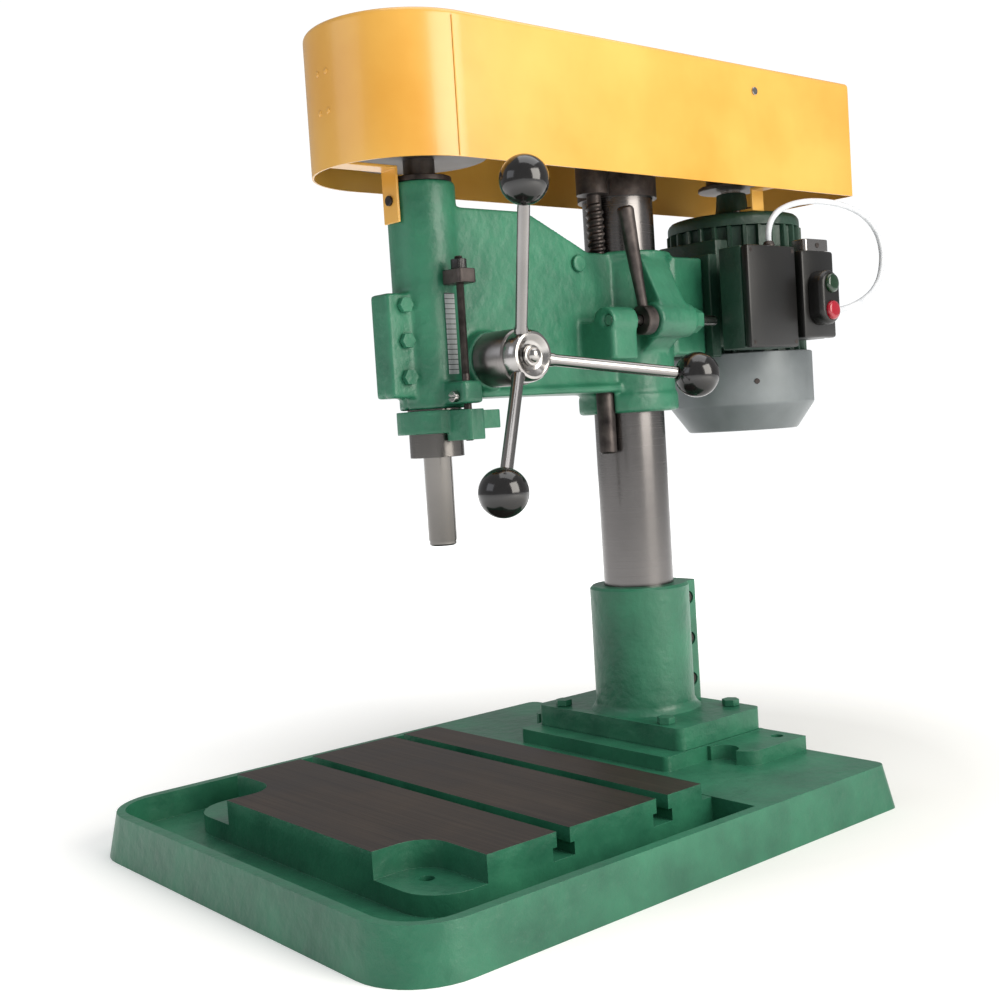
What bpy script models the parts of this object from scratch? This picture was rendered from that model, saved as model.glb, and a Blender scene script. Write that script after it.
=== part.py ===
"""Bench drill press: cast base, round column, sliding head, geared quill feed and belt drive."""

import math

import bmesh
import bpy
from mathutils import Matrix, Vector

# ---- driving sizes, metres; +X is the operator's right, +Y is towards the column, +Z is up ----
GAP = 0.0003
SLIDE = 0.0001

BASE_WIDTH = 0.570
BASE_FRONT = -0.562
BASE_BACK = 0.076
BASE_HEIGHT = 0.046
BASE_DRAFT = 0.008
BASE_CORNER = 0.066
BASE_BACK_CORNER = 0.012
BASE_RIM = 0.011
TROUGH_FLOOR = 0.018
TROUGH_BACK = -0.133
TABLE_WIDTH = 0.426
TABLE_FRONT = -0.479
TABLE_BACK = -0.148
TABLE_TOP = 0.062
TABLE_CORNER = 0.042
NOTCH_X = 0.128
NOTCH_Y = -0.420
NOTCH_FLOOR = 0.037
SLOT_WIDTH = 0.016
SLOT_NECK = 0.014
SLOT_WIDE = 0.026
SLOT_DEPTH = 0.026
SLOT_FRONT = -0.332
SLOT_PITCH = 0.128
PEDESTAL_HALF = 0.118
PEDESTAL_FRONT = -0.095
WING_HALF = 0.176
WING_FRONT = -0.030
WING_CORNER = 0.025
BENCH_HOLE = 0.007
BENCH_FRONT = (0.161, -0.446)
BENCH_BACK = (0.151, 0.048)
UNDER_WALL = 0.014

FLANGE_HALF_X = 0.115
FLANGE_THICK = 0.024
FOOT_BOLT_X = 0.082
COLUMN_RADIUS = 0.040
FLANGE_HALF_Y = COLUMN_RADIUS + 0.028
FOOT_BOLT_Y = COLUMN_RADIUS + 0.014
FOOT_BOLT_RADIUS = 0.0050
COLUMN_BORE = 0.028
COLUMN_TOP = 0.690
SOCKET_RADIUS = COLUMN_RADIUS + 0.017
SOCKET_TOP = 0.230
CLAMP_BACK = COLUMN_RADIUS + 0.026
CLAMP_HALF = 0.030
CLAMP_SCREW_Y = COLUMN_RADIUS + 0.0105
CLAMP_SCREW_RADIUS = 0.0042
CLAMP_SCREW_FIRST = 0.112
CLAMP_SCREW_PITCH = 0.048

SCREW_X = 0.016
SCREW_Y = -COLUMN_RADIUS - 0.013
SCREW_RADIUS = 0.010
SCREW_BOTTOM = 0.383
SCREW_TOP = 0.716
SCREW_PITCH = 0.008
JOURNAL_RADIUS = 0.0060
CAP_BOTTOM = 0.668
CAP_TOP = 0.704
CAP_RADIUS = COLUMN_RADIUS + 0.005
NUT_SEAT = CAP_TOP - 0.004

SPINDLE_Y = -0.281
QUILL_RADIUS = 0.0275
HOUSING_RADIUS = QUILL_RADIUS + 0.0075
HOUSING_BOTTOM = 0.4425
HOUSING_TOP = 0.668
ARM_HALF = 0.030
ARM_TOP = 0.643
ARM_BOTTOM = 0.450
SLEEVE_RADIUS = COLUMN_RADIUS + 0.017
SLEEVE_TOP = 0.606
SLEEVE_BOTTOM = 0.427
LUG_HALF = 0.015
LUG_BOTTOM = 0.455
LUG_TOP = 0.558
LUG_BOLT_Y = SPINDLE_Y - HOUSING_RADIUS - 0.0065
LUG_BOLT_Z = (0.475, 0.511, 0.546)
LUG_BOLT_RADIUS = 0.0041
LUG_FRONT = LUG_BOLT_Y - 0.0195
OIL_Y = -0.097
OIL_Z = 0.591
OIL_RADIUS = 0.0048
LOCK_X = COLUMN_RADIUS + 0.032
LOCK_Z = 0.526
LEVER_Y = -0.042
STUD_RADIUS = 0.0060

QUILL_BOTTOM = 0.394
QUILL_TOP = 0.604
NOSE_RADIUS = 0.0145
NOSE_BOTTOM = 0.304
TAPER_MOUTH = 0.0089
TAPER_DEPTH = 0.064
SPLINE_RADIUS = 0.009
SPLINE_TOP = 0.796
COLLAR_RADIUS = QUILL_RADIUS + 0.0115
COLLAR_BOTTOM = 0.418
COLLAR_TOP = 0.441
DEPTH_ROD_X = QUILL_RADIUS + 0.0265
DEPTH_ROD_RADIUS = 0.004
DEPTH_ROD_TOP = 0.590
LUG_FACE = SPINDLE_Y - 0.013
GUIDE_LUG_TOP = 0.468
GUIDE_LUG_BOTTOM = 0.4455
LUG_MIDDLE = 0.4530
LUG_SCREW_RADIUS = 0.0028
POINTER_Z = (0.563, 0.577)

FEED_Y = SPINDLE_Y + QUILL_RADIUS + 0.0155
FEED_Z = 0.4883
FEED_MODULE = 0.0025
FEED_TEETH = 14
FEED_FACE = 0.018
FEED_SHAFT = 0.0110
HUB_RADIUS = 0.028
HUB_INNER = 0.046
HUB_FACE = 0.108
ROD_ORIGIN = 0.0883
ROD_REACH = 0.1845
ROD_TILT = math.radians(27.4)
ROD_PHASE = math.radians(110.4)
ROD_RADIUS = 0.006
KNOB_RADIUS = 0.023

PULLEY_BOTTOM = 0.692
PULLEY_STEP = 0.024
PULLEY_STEPS = 4
PULLEY_SMALL = 0.040
PULLEY_RISE = 0.010
PULLEY_SLEEVE = 0.016
GROOVE_HALF = 0.0070
GROOVE_DEPTH = 0.0100
BELT_STEP = 2
BELT_WIDTH = 0.0124
BELT_DEPTH = 0.0075

MOTOR_RADIUS = 0.076
MOTOR_FIN = 0.006
MOTOR_Y = MOTOR_RADIUS + MOTOR_FIN + 0.119
MOTOR_FINS = 28
PLATE_FRONT = 0.0965
PLATE_BACK = 0.1120
MOTOR_BOTTOM = 0.482
MOTOR_TOP = 0.640
SHAFT_RADIUS = 0.012
COVER_TOP = 0.656
COVER_BOSS = 0.688
COWL_RADIUS = MOTOR_RADIUS + MOTOR_FIN + 0.006
COWL_TOP = 0.490
COWL_EDGE = 0.428
COWL_BOTTOM = 0.397
FAN_RADIUS = 0.070
FAN_BLADES = 6

GUARD_HALF = 0.097
GUARD_FRONT = -0.390
GUARD_BACK = MOTOR_Y + 0.117
GUARD_BOTTOM = 0.677
GUARD_TOP = 0.815
SHEET = 0.002
STRAP_THICK = 0.003
STRAP_SHELF = 0.680
BRACKET_Y = MOTOR_Y - 0.031
BRACKET_X = 0.042
BRACKET_RISER = 0.066
BRACKET_WIDTH = 0.021

BOX_X = (MOTOR_RADIUS + 0.004, MOTOR_RADIUS + 0.036)
BOX_Y = (MOTOR_Y - 0.125, MOTOR_Y - 0.039)
BOX_Z = (0.491, 0.606)
LID_DEPTH = 0.010
SWITCH_X = (MOTOR_RADIUS + 0.008, MOTOR_RADIUS + 0.049)
SWITCH_Y = (MOTOR_Y - 0.031, MOTOR_Y + 0.029)
SWITCH_Z = (0.501, 0.602)
BEZEL_DEPTH = 0.019
BEZEL_Y = MOTOR_Y - 0.004
BEZEL_HALF = 0.018
BUTTON_RADIUS = 0.0110
BUTTON_WELL = 0.0090
BUTTON_TRAVEL = 0.0040
BUTTON_PROUD = 0.0050
START_Z = 0.562
STOP_Z = 0.531
CABLE_X = MOTOR_RADIUS + 0.026
CABLE_RADIUS = 0.0035
GLAND_RADIUS = 0.0070
GLAND_LENGTH = 0.008


def collection(name):
    made = bpy.data.collections.new(name)
    bpy.context.scene.collection.children.link(made)
    return made


for old in list(bpy.data.objects):
    bpy.data.objects.remove(old)
PARTS = collection("drill_press")
HELPERS = collection("cutters")


def linear(channel):
    if channel <= 0.04045:
        return channel / 12.92
    return ((channel + 0.055) / 1.055) ** 2.4


def material(name, colour, metallic, roughness):
    made = bpy.data.materials.new(name)
    made.use_nodes = True
    shader = made.node_tree.nodes["Principled BSDF"]
    channels = [int(colour[i : i + 2], 16) / 255 for i in (0, 2, 4)]
    shader.inputs["Base Color"].default_value = [linear(c) for c in channels] + [1.0]
    shader.inputs["Metallic"].default_value = metallic
    shader.inputs["Roughness"].default_value = roughness
    return made


GREEN = material("green_enamel", "3F8A66", 0.0, 0.4)
DARK_GREEN = material("dark_green_enamel", "1B3A2C", 0.0, 0.5)
YELLOW = material("yellow_enamel", "E8BC4A", 0.0, 0.4)
GREY = material("grey_enamel", "7C888C", 0.0, 0.5)
STEEL = material("ground_steel", "B9B9BC", 1.0, 0.3)
DARK_STEEL = material("dark_steel", "4A4444", 1.0, 0.45)
CAST_IRON = material("machined_iron", "3C3430", 0.6, 0.55)
BLACK = material("black_plastic", "101010", 0.0, 0.25)
BLACK_RUBBER = material("black_rubber", "181818", 0.0, 0.7)
RED = material("red_plastic", "A01428", 0.0, 0.3)
START_GREEN = material("green_plastic", "173A22", 0.0, 0.3)
PALE_PVC = material("pale_pvc", "D8DADC", 0.0, 0.5)


def place(name, mesh, paint):
    """A new object that is a part if it has paint, and a helper if not."""
    made = bpy.data.objects.new(name, mesh)
    if paint:
        PARTS.objects.link(made)
        mesh.materials.append(paint)
        return made
    HELPERS.objects.link(made)
    made.hide_render = True
    made.display_type = "WIRE"
    return made


def mesh_of(name, shape):
    bmesh.ops.recalc_face_normals(shape, faces=shape.faces)
    mesh = bpy.data.meshes.new(name)
    shape.to_mesh(mesh)
    shape.free()
    return mesh


def round_upright(shape, chosen, radius, steps):
    upright = [e for e in shape.edges if abs((e.verts[0].co - e.verts[1].co).normalized().z) > 0.99]
    picked = [e for e in upright if chosen(e.verts[0].co)]
    bmesh.ops.bevel(shape, geom=picked, offset=radius, segments=steps, profile=0.5, affect="EDGES")


def block(name, x, y, z, paint=None, corner=0.0, steps=6, inset=0.0, corners=None, back_corner=0.0):
    """A box over three ranges, with rounded upright corners and a top drawn in by inset.

    The corners test picks the ones that are rounded by corner; back_corner rounds those at the back.
    """
    shape = bmesh.new()
    bmesh.ops.create_cube(shape, size=1.0)
    middle = Vector((sum(x) / 2, sum(y) / 2, sum(z) / 2))
    size = Vector((x[1] - x[0], y[1] - y[0], z[1] - z[0]))
    bmesh.ops.scale(shape, vec=size, verts=shape.verts)
    bmesh.ops.translate(shape, vec=middle, verts=shape.verts)
    if back_corner:
        round_upright(shape, lambda at: at.y > middle.y, back_corner, 4)
    if corner:
        round_upright(shape, lambda at: corners is None or corners(at - middle), corner, steps)
    for vert in shape.verts:
        if inset and vert.co.z > middle.z:
            vert.co.x = middle.x + (vert.co.x - middle.x) * (1 - 2 * inset / size.x)
            vert.co.y = middle.y + (vert.co.y - middle.y) * (1 - 2 * inset / size.y)
    return place(name, mesh_of(name, shape), paint)


def turn_to(axis):
    return Vector((0, 0, 1)).rotation_difference(Vector(axis)).to_matrix().to_4x4()


def rod(name, start, end, radius, paint=None, sides=24, tip=None):
    """A cylinder or cone from start to end."""
    start, end = Vector(start), Vector(end)
    shape = bmesh.new()
    place_at = Matrix.Translation((start + end) / 2) @ turn_to(end - start)
    bmesh.ops.create_cone(
        shape,
        cap_ends=True,
        segments=sides,
        radius1=radius,
        radius2=radius if tip is None else tip,
        depth=(end - start).length,
        matrix=place_at,
    )
    return place(name, mesh_of(name, shape), paint)


def ball(name, centre, radius, paint=None, sides=20):
    shape = bmesh.new()
    bmesh.ops.create_uvsphere(shape, u_segments=sides, v_segments=sides // 2 + 2, radius=radius)
    bmesh.ops.translate(shape, vec=Vector(centre), verts=shape.verts)
    return place(name, mesh_of(name, shape), paint)


def turned(name, centre, axis, profile, paint=None, sides=32):
    """A profile of (radius, height) pairs, from the top down its outer side, spun about the axis."""
    mesh = bpy.data.meshes.new(name)
    loop = profile[0][0] > 0 or profile[-1][0] > 0
    edges = [(i, i + 1) for i in range(len(profile) - 1)] + ([(len(profile) - 1, 0)] if loop else [])
    mesh.from_pydata([(r, 0.0, h) for r, h in profile], edges, [])
    made = place(name, mesh, paint)
    made.matrix_world = Matrix.Translation(Vector(centre)) @ turn_to(axis)
    spin = made.modifiers.new("spin", "SCREW")
    spin.steps = sides
    spin.render_steps = sides
    spin.use_merge_vertices = True
    spin.merge_threshold = 0.00001
    return made


def outline(name, loops, low, high, frame, paint=None):
    """A flat outline, with any further loops as holes, made low to high along the frame's Z."""
    curve = bpy.data.curves.new(name, "CURVE")
    curve.dimensions = "2D"
    curve.fill_mode = "BOTH"
    curve.extrude = (high - low) / 2
    for points in loops:
        spline = curve.splines.new("POLY")
        spline.points.add(len(points) - 1)
        for spot, (u, v) in zip(spline.points, points):
            spot.co = (u, v, 0.0, 1.0)
        spline.use_cyclic_u = True
    drawn = bpy.data.objects.new(name + "_curve", curve)
    HELPERS.objects.link(drawn)
    graph = bpy.context.evaluated_depsgraph_get()
    mesh = bpy.data.meshes.new_from_object(drawn.evaluated_get(graph))
    bpy.data.objects.remove(drawn)
    mesh.transform(frame @ Matrix.Translation((0, 0, (low + high) / 2)))
    shape = bmesh.new()
    shape.from_mesh(mesh)
    bmesh.ops.remove_doubles(shape, verts=shape.verts, dist=1e-6)
    return place(name, mesh_of(name, shape), paint)


FLAT = Matrix.Identity(4)
SIDEWAYS = Matrix(((0, 0, 1, 0), (1, 0, 0, 0), (0, 1, 0, 0), (0, 0, 0, 1)))
FACING = Matrix(((1, 0, 0, 0), (0, 0, -1, 0), (0, 1, 0, 0), (0, 0, 0, 1)))


def combine(target, helpers, operation):
    for helper in helpers:
        step = target.modifiers.new(helper.name, "BOOLEAN")
        step.operation = operation
        step.object = helper
        step.solver = "EXACT"
    return target


def fuse(target, *helpers):
    return combine(target, helpers, "UNION")


def cut(target, *helpers):
    return combine(target, helpers, "DIFFERENCE")


def set_origin(made, point):
    """Moves the origin to a joint axis and leaves the shape where it is."""
    shift = Matrix.Translation(-Vector(point))
    made.data.transform(shift @ made.matrix_world)
    made.matrix_world = Matrix.Translation(Vector(point))


def arc(centre, radius, first, last, steps):
    angles = [math.radians(first + (last - first) * i / steps) for i in range(steps + 1)]
    return [(centre[0] + radius * math.cos(a), centre[1] + radius * math.sin(a)) for a in angles]


# ---- base: a drafted pan, the slotted table, the column pedestal with its two wings ----
half_base = BASE_WIDTH / 2
half_table = TABLE_WIDTH / 2
deck_back = BASE_BACK - BASE_DRAFT
base = block(
    "base_casting",
    (-half_base, half_base),
    (BASE_FRONT, BASE_BACK),
    (0.0, BASE_HEIGHT),
    GREEN,
    corner=BASE_CORNER,
    steps=10,
    inset=BASE_DRAFT,
    corners=lambda at: at.y < 0,
    back_corner=BASE_BACK_CORNER,
)
trough = block(
    "trough_cut",
    (-half_base + BASE_DRAFT + BASE_RIM, half_base - BASE_DRAFT - BASE_RIM),
    (BASE_FRONT + BASE_DRAFT + BASE_RIM, TROUGH_BACK),
    (TROUGH_FLOOR, BASE_HEIGHT + 0.03),
    corner=BASE_CORNER - BASE_DRAFT - BASE_RIM,
    steps=8,
    corners=lambda at: at.y < 0,
)
table = block(
    "table_add",
    (-half_table, half_table),
    (TABLE_FRONT, TABLE_BACK),
    (0.010, TABLE_TOP),
    corner=TABLE_CORNER,
    steps=6,
    corners=lambda at: at.y < 0,
)
bridge = block(
    "bridge_add", (
        -half_table + 0.001,
        half_table - 0.001,
    ), (TABLE_BACK - 0.03, TROUGH_BACK + 0.02), (0.011, BASE_HEIGHT - 0.0005)
)
pedestal = block(
    "pedestal_add",
    (-PEDESTAL_HALF, PEDESTAL_HALF),
    (PEDESTAL_FRONT, deck_back - 0.002),
    (BASE_HEIGHT - 0.010, TABLE_TOP),
    corner=0.008,
    steps=3,
    corners=lambda at: at.y < 0,
)
wings = block(
    "wings_add",
    (-WING_HALF, WING_HALF),
    (WING_FRONT, deck_back - 0.0015),
    (BASE_HEIGHT - 0.009, TABLE_TOP - 0.0004),
    corner=WING_CORNER,
    steps=6,
    corners=lambda at: at.y < 0,
)
cut(base, trough)
fuse(base, table, bridge, pedestal, wings)

cuts = []
for side in (-1, 1):
    low, high = sorted((side * NOTCH_X, side * (half_table + 0.01)))
    cuts.append(
        block(
            "notch_cut",
            (low, high),
            (TABLE_FRONT - 0.01, NOTCH_Y),
            (NOTCH_FLOOR, TABLE_TOP + 0.01),
            corner=0.030,
            steps=6,
            corners=lambda at, side=side: at.y > 0 and at.x * side < 0,
        )
    )
    for hole_x, hole_y in (BENCH_FRONT, BENCH_BACK):
        x = side * hole_x
        cuts.append(
            rod("bench_hole_cut", (x, hole_y, -0.01), (x, hole_y, TABLE_TOP + 0.01), BENCH_HOLE, sides=20),
        )
    pocket_x = side * (PEDESTAL_HALF + 0.022)
    cuts.append(
        rod(
            "wing_pocket_cut",
            (pocket_x, WING_FRONT, BASE_HEIGHT),
            (pocket_x, WING_FRONT, TABLE_TOP + 0.01),
            0.017,
            sides=24,
        )
    )
    for end in (-1, 1):
        x, y = side * FOOT_BOLT_X, end * FOOT_BOLT_Y
        cuts.append(
            rod(
                "foot_tap_cut",
                (x, y, TABLE_TOP - 0.024),
                (x, y, TABLE_TOP + 0.01),
                FOOT_BOLT_RADIUS + GAP,
                sides=16,
            ),
        )
for row in (0, 1):
    y = SLOT_FRONT + row * SLOT_PITCH
    floor = TABLE_TOP - SLOT_DEPTH
    across = (-half_table - 0.005, half_table + 0.005)
    cuts.append(
        block(
            "slot_neck_cut",
            across,
            (y - SLOT_WIDTH / 2, y + SLOT_WIDTH / 2),
            (floor + 0.002, TABLE_TOP + 0.01),
        ),
    )
    cuts.append(
        block(
            "slot_wide_cut",
            across,
            (y - SLOT_WIDE / 2, y + SLOT_WIDE / 2),
            (floor, TABLE_TOP - SLOT_NECK),
        )
    )

# The hollow underside: table bays, shallow bays below the trough, deep bays below the pedestal.
inner = half_base - UNDER_WALL
notch_roof = 0.022
trough_roof = 0.008
deck_roof = BASE_HEIGHT - 0.012
for side in (-1, 1):
    spans = [
        ((0.006, 0.118), (-0.466, -0.357), notch_roof),
        ((0.130, 0.194), (-0.408, -0.357), notch_roof),
        ((0.006, 0.194), (-0.345, -0.280), notch_roof),
        ((0.006, 0.194), (-0.268, -0.160), notch_roof),
        ((0.225, inner), (-0.480, -0.345), trough_roof),
        ((0.225, inner), (-0.333, -0.150), trough_roof),
        ((0.006, 0.215), (BASE_FRONT + UNDER_WALL, TABLE_FRONT - 0.006), trough_roof),
        ((0.006, 0.062), (-0.126, -0.008), deck_roof),
        ((0.100, 0.255), (-0.118, -0.045), deck_roof),
        ((0.170, 0.255), (-0.033, 0.040), deck_roof),
    ]
    for x, y, top in spans:
        low, high = sorted((side * x[0], side * x[1]))
        cuts.append(block("under_cut", (low, high), y, (-0.01, top)))
cut(base, *cuts)

# ---- column foot: bolted flange with a split clamp socket ----
flange_top = TABLE_TOP + GAP + FLANGE_THICK
foot = block(
    "column_foot",
    (-FLANGE_HALF_X, FLANGE_HALF_X),
    (-FLANGE_HALF_Y, FLANGE_HALF_Y),
    (TABLE_TOP + GAP, flange_top),
    GREEN,
    corner=0.010,
    steps=4,
)
socket = turned(
    "socket_add",
    (0, 0, 0),
    (0, 0, 1),
    [
        (0.0, SOCKET_TOP),
        (SOCKET_RADIUS - 0.003, SOCKET_TOP),
        (SOCKET_RADIUS, SOCKET_TOP - 0.003),
        (SOCKET_RADIUS, flange_top + 0.010),
        (SOCKET_RADIUS + 0.003, flange_top + 0.004),
        (SOCKET_RADIUS + 0.009, flange_top - 0.002),
        (0.0, flange_top - 0.002),
    ],
    sides=48,
)
ear = block(
    "socket_ear_add",
    (-CLAMP_HALF, CLAMP_HALF),
    (0.030, CLAMP_BACK),
    (flange_top - 0.004, SOCKET_TOP - 0.002),
    corner=0.006,
    steps=3,
    corners=lambda at: at.y > 0,
)
fuse(foot, socket, ear)
cut(
    foot,
    rod("foot_bore_cut", (0, 0, 0.05), (0, 0, 0.25), COLUMN_RADIUS + SLIDE, sides=48),
    block("foot_split_cut", (-0.002, 0.002), (0.030, 0.080), (flange_top + 0.006, 0.25)),
)
for place_x in (-1, 1):
    for place_y in (-1, 1):
        x, y = place_x * FOOT_BOLT_X, place_y * FOOT_BOLT_Y
        cut(foot, rod("foot_bolt_cut", (x, y, 0.05), (x, y, 0.10), FOOT_BOLT_RADIUS + 0.0008, sides=16))
        where = ("front" if place_y < 0 else "back") + "_" + ("left" if place_x < 0 else "right")
        bolt = rod(
            "foot_bolt_" + where,
            (x, y, flange_top + GAP),
            (x, y, flange_top + 0.0075),
            0.0100,
            DARK_STEEL,
            sides=6,
        )
        fuse(
            bolt,
            rod(
                "foot_shank_add",
                (x, y, TABLE_TOP - 0.022),
                (x, y, flange_top + 0.003),
                FOOT_BOLT_RADIUS,
                sides=16,
            ),
        )
for row in range(3):
    z = CLAMP_SCREW_FIRST + row * CLAMP_SCREW_PITCH
    cut(
        foot,
        rod(
            "ear_hole_cut",
            (-0.040, CLAMP_SCREW_Y, z),
            (0.040, CLAMP_SCREW_Y, z),
            CLAMP_SCREW_RADIUS + 0.0006,
            sides=16,
        ),
        rod("ear_sink_cut", (0.020, CLAMP_SCREW_Y, z), (0.040, CLAMP_SCREW_Y, z), 0.0078, sides=20),
    )
    screw = rod(
        "foot_clamp_screw_%d" % (row + 1), (
            0.0203,
            CLAMP_SCREW_Y,
            z,
        ), (0.0285, CLAMP_SCREW_Y, z), 0.0068, DARK_STEEL, sides=20
    )
    fuse(
        screw,
        rod(
            "clamp_shank_add",
            (-0.028, CLAMP_SCREW_Y, z),
            (0.024, CLAMP_SCREW_Y, z),
            CLAMP_SCREW_RADIUS,
            sides=16,
        ),
    )
    cut(
        screw,
        rod("clamp_hex_cut", (0.0245, CLAMP_SCREW_Y, z), (0.0400, CLAMP_SCREW_Y, z), 0.0034, sides=6),
    )

column = rod("column", (0, 0, TABLE_TOP + GAP), (0, 0, COLUMN_TOP), COLUMN_RADIUS, STEEL, sides=48)
cut(column, rod("column_bore_cut", (0, 0, 0.0), (0, 0, 0.8), COLUMN_BORE, sides=32))

# ---- column cap and the screw that lifts the head ----
cap = rod("column_cap", (0, 0, CAP_BOTTOM), (0, 0, CAP_TOP), CAP_RADIUS, DARK_STEEL, sides=48)
nose_shift = Vector((SCREW_X, SCREW_Y)).normalized() * 0.002
nose = rod(
    "cap_nose_add",
    (SCREW_X + nose_shift.x, SCREW_Y + nose_shift.y, CAP_BOTTOM + 0.001),
    (SCREW_X + nose_shift.x, SCREW_Y + nose_shift.y, NUT_SEAT),
    0.018,
    sides=32,
)
fuse(cap, nose)
cut(
    cap,
    rod("cap_bore_cut", (0, 0, 0.60), (0, 0, COLUMN_TOP + GAP), COLUMN_RADIUS + SLIDE, sides=48),
    rod(
        "cap_journal_cut",
        (SCREW_X, SCREW_Y, 0.60),
        (SCREW_X, SCREW_Y, 0.80),
        JOURNAL_RADIUS + 0.0004,
        sides=24,
    ),
)
profile = [(0.0, SCREW_TOP), (JOURNAL_RADIUS, SCREW_TOP), (JOURNAL_RADIUS, CAP_BOTTOM - 0.001)]
ridges = int((CAP_BOTTOM - 0.460) / SCREW_PITCH)
for ridge in range(ridges):
    crest = CAP_BOTTOM - 0.001 - ridge * SCREW_PITCH
    profile.append((SCREW_RADIUS, crest - 0.001))
    profile.append((SCREW_RADIUS - 0.0020, crest - SCREW_PITCH + 0.0025))
profile.append((SCREW_RADIUS, CAP_BOTTOM - 0.002 - ridges * SCREW_PITCH))
profile += [(SCREW_RADIUS, SCREW_BOTTOM + 0.002), (SCREW_RADIUS - 0.002, SCREW_BOTTOM), (0.0, SCREW_BOTTOM)]
lift = turned("lift_screw", (SCREW_X, SCREW_Y, 0), (0, 0, 1), profile, DARK_STEEL, sides=12)
nut_low = NUT_SEAT + GAP
lift_nut = rod(
    "lift_screw_nut",
    (SCREW_X, SCREW_Y, nut_low),
    (SCREW_X, SCREW_Y, nut_low + 0.009),
    0.0105,
    DARK_STEEL,
    sides=6,
)
cut(
    lift_nut,
    rod("lift_nut_cut", (SCREW_X, SCREW_Y, 0.60), (SCREW_X, SCREW_Y, 0.80), JOURNAL_RADIUS + GAP, sides=24),
)
cut(
    cap,
    block(
        "cap_nut_seat_cut",
        (SCREW_X - 0.016, SCREW_X + 0.016),
        (SCREW_Y - 0.03, SCREW_Y + 0.012),
        (NUT_SEAT, 0.8),
    ),
)

# ---- head casting: spindle housing, arm, column sleeve, clamps and bosses ----
head = rod(
    "head_casting",
    (0, SPINDLE_Y, HOUSING_BOTTOM),
    (0, SPINDLE_Y, HOUSING_TOP),
    HOUSING_RADIUS,
    GREEN,
    sides=40,
)
arm = outline(
    "arm_add",
    [
        [
            (SPINDLE_Y, ARM_TOP),
            (-0.166, ARM_TOP),
            (-0.080, SLEEVE_TOP - 0.002),
            (0.010, SLEEVE_TOP - 0.002),
            (0.010, ARM_BOTTOM - 0.0007),
            (SPINDLE_Y, ARM_BOTTOM + 0.004),
        ]
    ],
    -ARM_HALF,
    ARM_HALF,
    SIDEWAYS,
)
rib = block(
    "arm_rib_add",
    (-ARM_HALF - 0.005, ARM_HALF + 0.005),
    (-0.245, -0.030),
    (ARM_BOTTOM + 0.0015, ARM_BOTTOM + 0.009),
)
sleeve = turned(
    "sleeve_add",
    (0, 0, 0),
    (0, 0, 1),
    [
        (0.0, SLEEVE_TOP),
        (SLEEVE_RADIUS, SLEEVE_TOP),
        (SLEEVE_RADIUS, SLEEVE_TOP - 0.006),
        (SLEEVE_RADIUS - 0.0025, SLEEVE_TOP - 0.0065),
        (SLEEVE_RADIUS - 0.0025, SLEEVE_BOTTOM + 0.0215),
        (SLEEVE_RADIUS, SLEEVE_BOTTOM + 0.020),
        (SLEEVE_RADIUS, SLEEVE_BOTTOM + 0.002),
        (SLEEVE_RADIUS - 0.002, SLEEVE_BOTTOM),
        (0.0, SLEEVE_BOTTOM),
    ],
    sides=48,
)
lug = block(
    "lug_add",
    (-LUG_HALF, LUG_HALF),
    (LUG_FRONT, -0.300),
    (LUG_BOTTOM, LUG_TOP),
    corner=0.003,
    steps=2,
)
guide_lug = block(
    "guide_lug_add",
    (0.020, DEPTH_ROD_X + 0.012),
    (LUG_FACE, SPINDLE_Y + 0.012),
    (GUIDE_LUG_BOTTOM, GUIDE_LUG_TOP),
    corner=0.003,
    steps=2,
)
hub_boss = rod("hub_boss_add", (0.020, FEED_Y, FEED_Z), (HUB_INNER - GAP, FEED_Y, FEED_Z), 0.030, sides=40)
spring_boss = rod("spring_boss_add", (-0.020, FEED_Y, FEED_Z), (-0.044, FEED_Y, FEED_Z), 0.034, sides=40)
rear_pad = block(
    "rear_pad_add",
    (-0.040, 0.040),
    (0.040, PLATE_FRONT),
    (0.490, 0.602),
    corner=0.006,
    steps=2,
)
lock_boss = rod("lock_boss_add", (LOCK_X, -0.033, LOCK_Z), (LOCK_X, 0.026, LOCK_Z), 0.019, sides=32)
lock_web = outline(
    "lock_web_add",
    [
        [
            (0.020, 0.598),
            (0.0555, 0.598),
            (LOCK_X + 0.014, LOCK_Z + 0.010),
            (LOCK_X + 0.006, LOCK_Z - 0.014),
            (0.020, 0.470),
        ]
    ],
    -0.0165,
    0.0255,
    FACING,
)
front_ear = block(
    "front_ear_add",
    (0.020, LOCK_X + 0.008),
    (-0.100, -0.060),
    (0.484, LOCK_Z),
    corner=0.005,
    steps=2,
)
ear_top = rod(
    "ear_top_add",
    (LOCK_X - 0.006, -0.0995, LOCK_Z - 0.001),
    (LOCK_X - 0.006, -0.0605, LOCK_Z - 0.001),
    0.016,
    sides=24,
)
fuse(
    head,
    arm,
    rib,
    sleeve,
    lug,
    guide_lug,
    hub_boss,
    spring_boss,
    rear_pad,
    lock_boss,
    lock_web,
    front_ear,
    ear_top,
)
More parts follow.
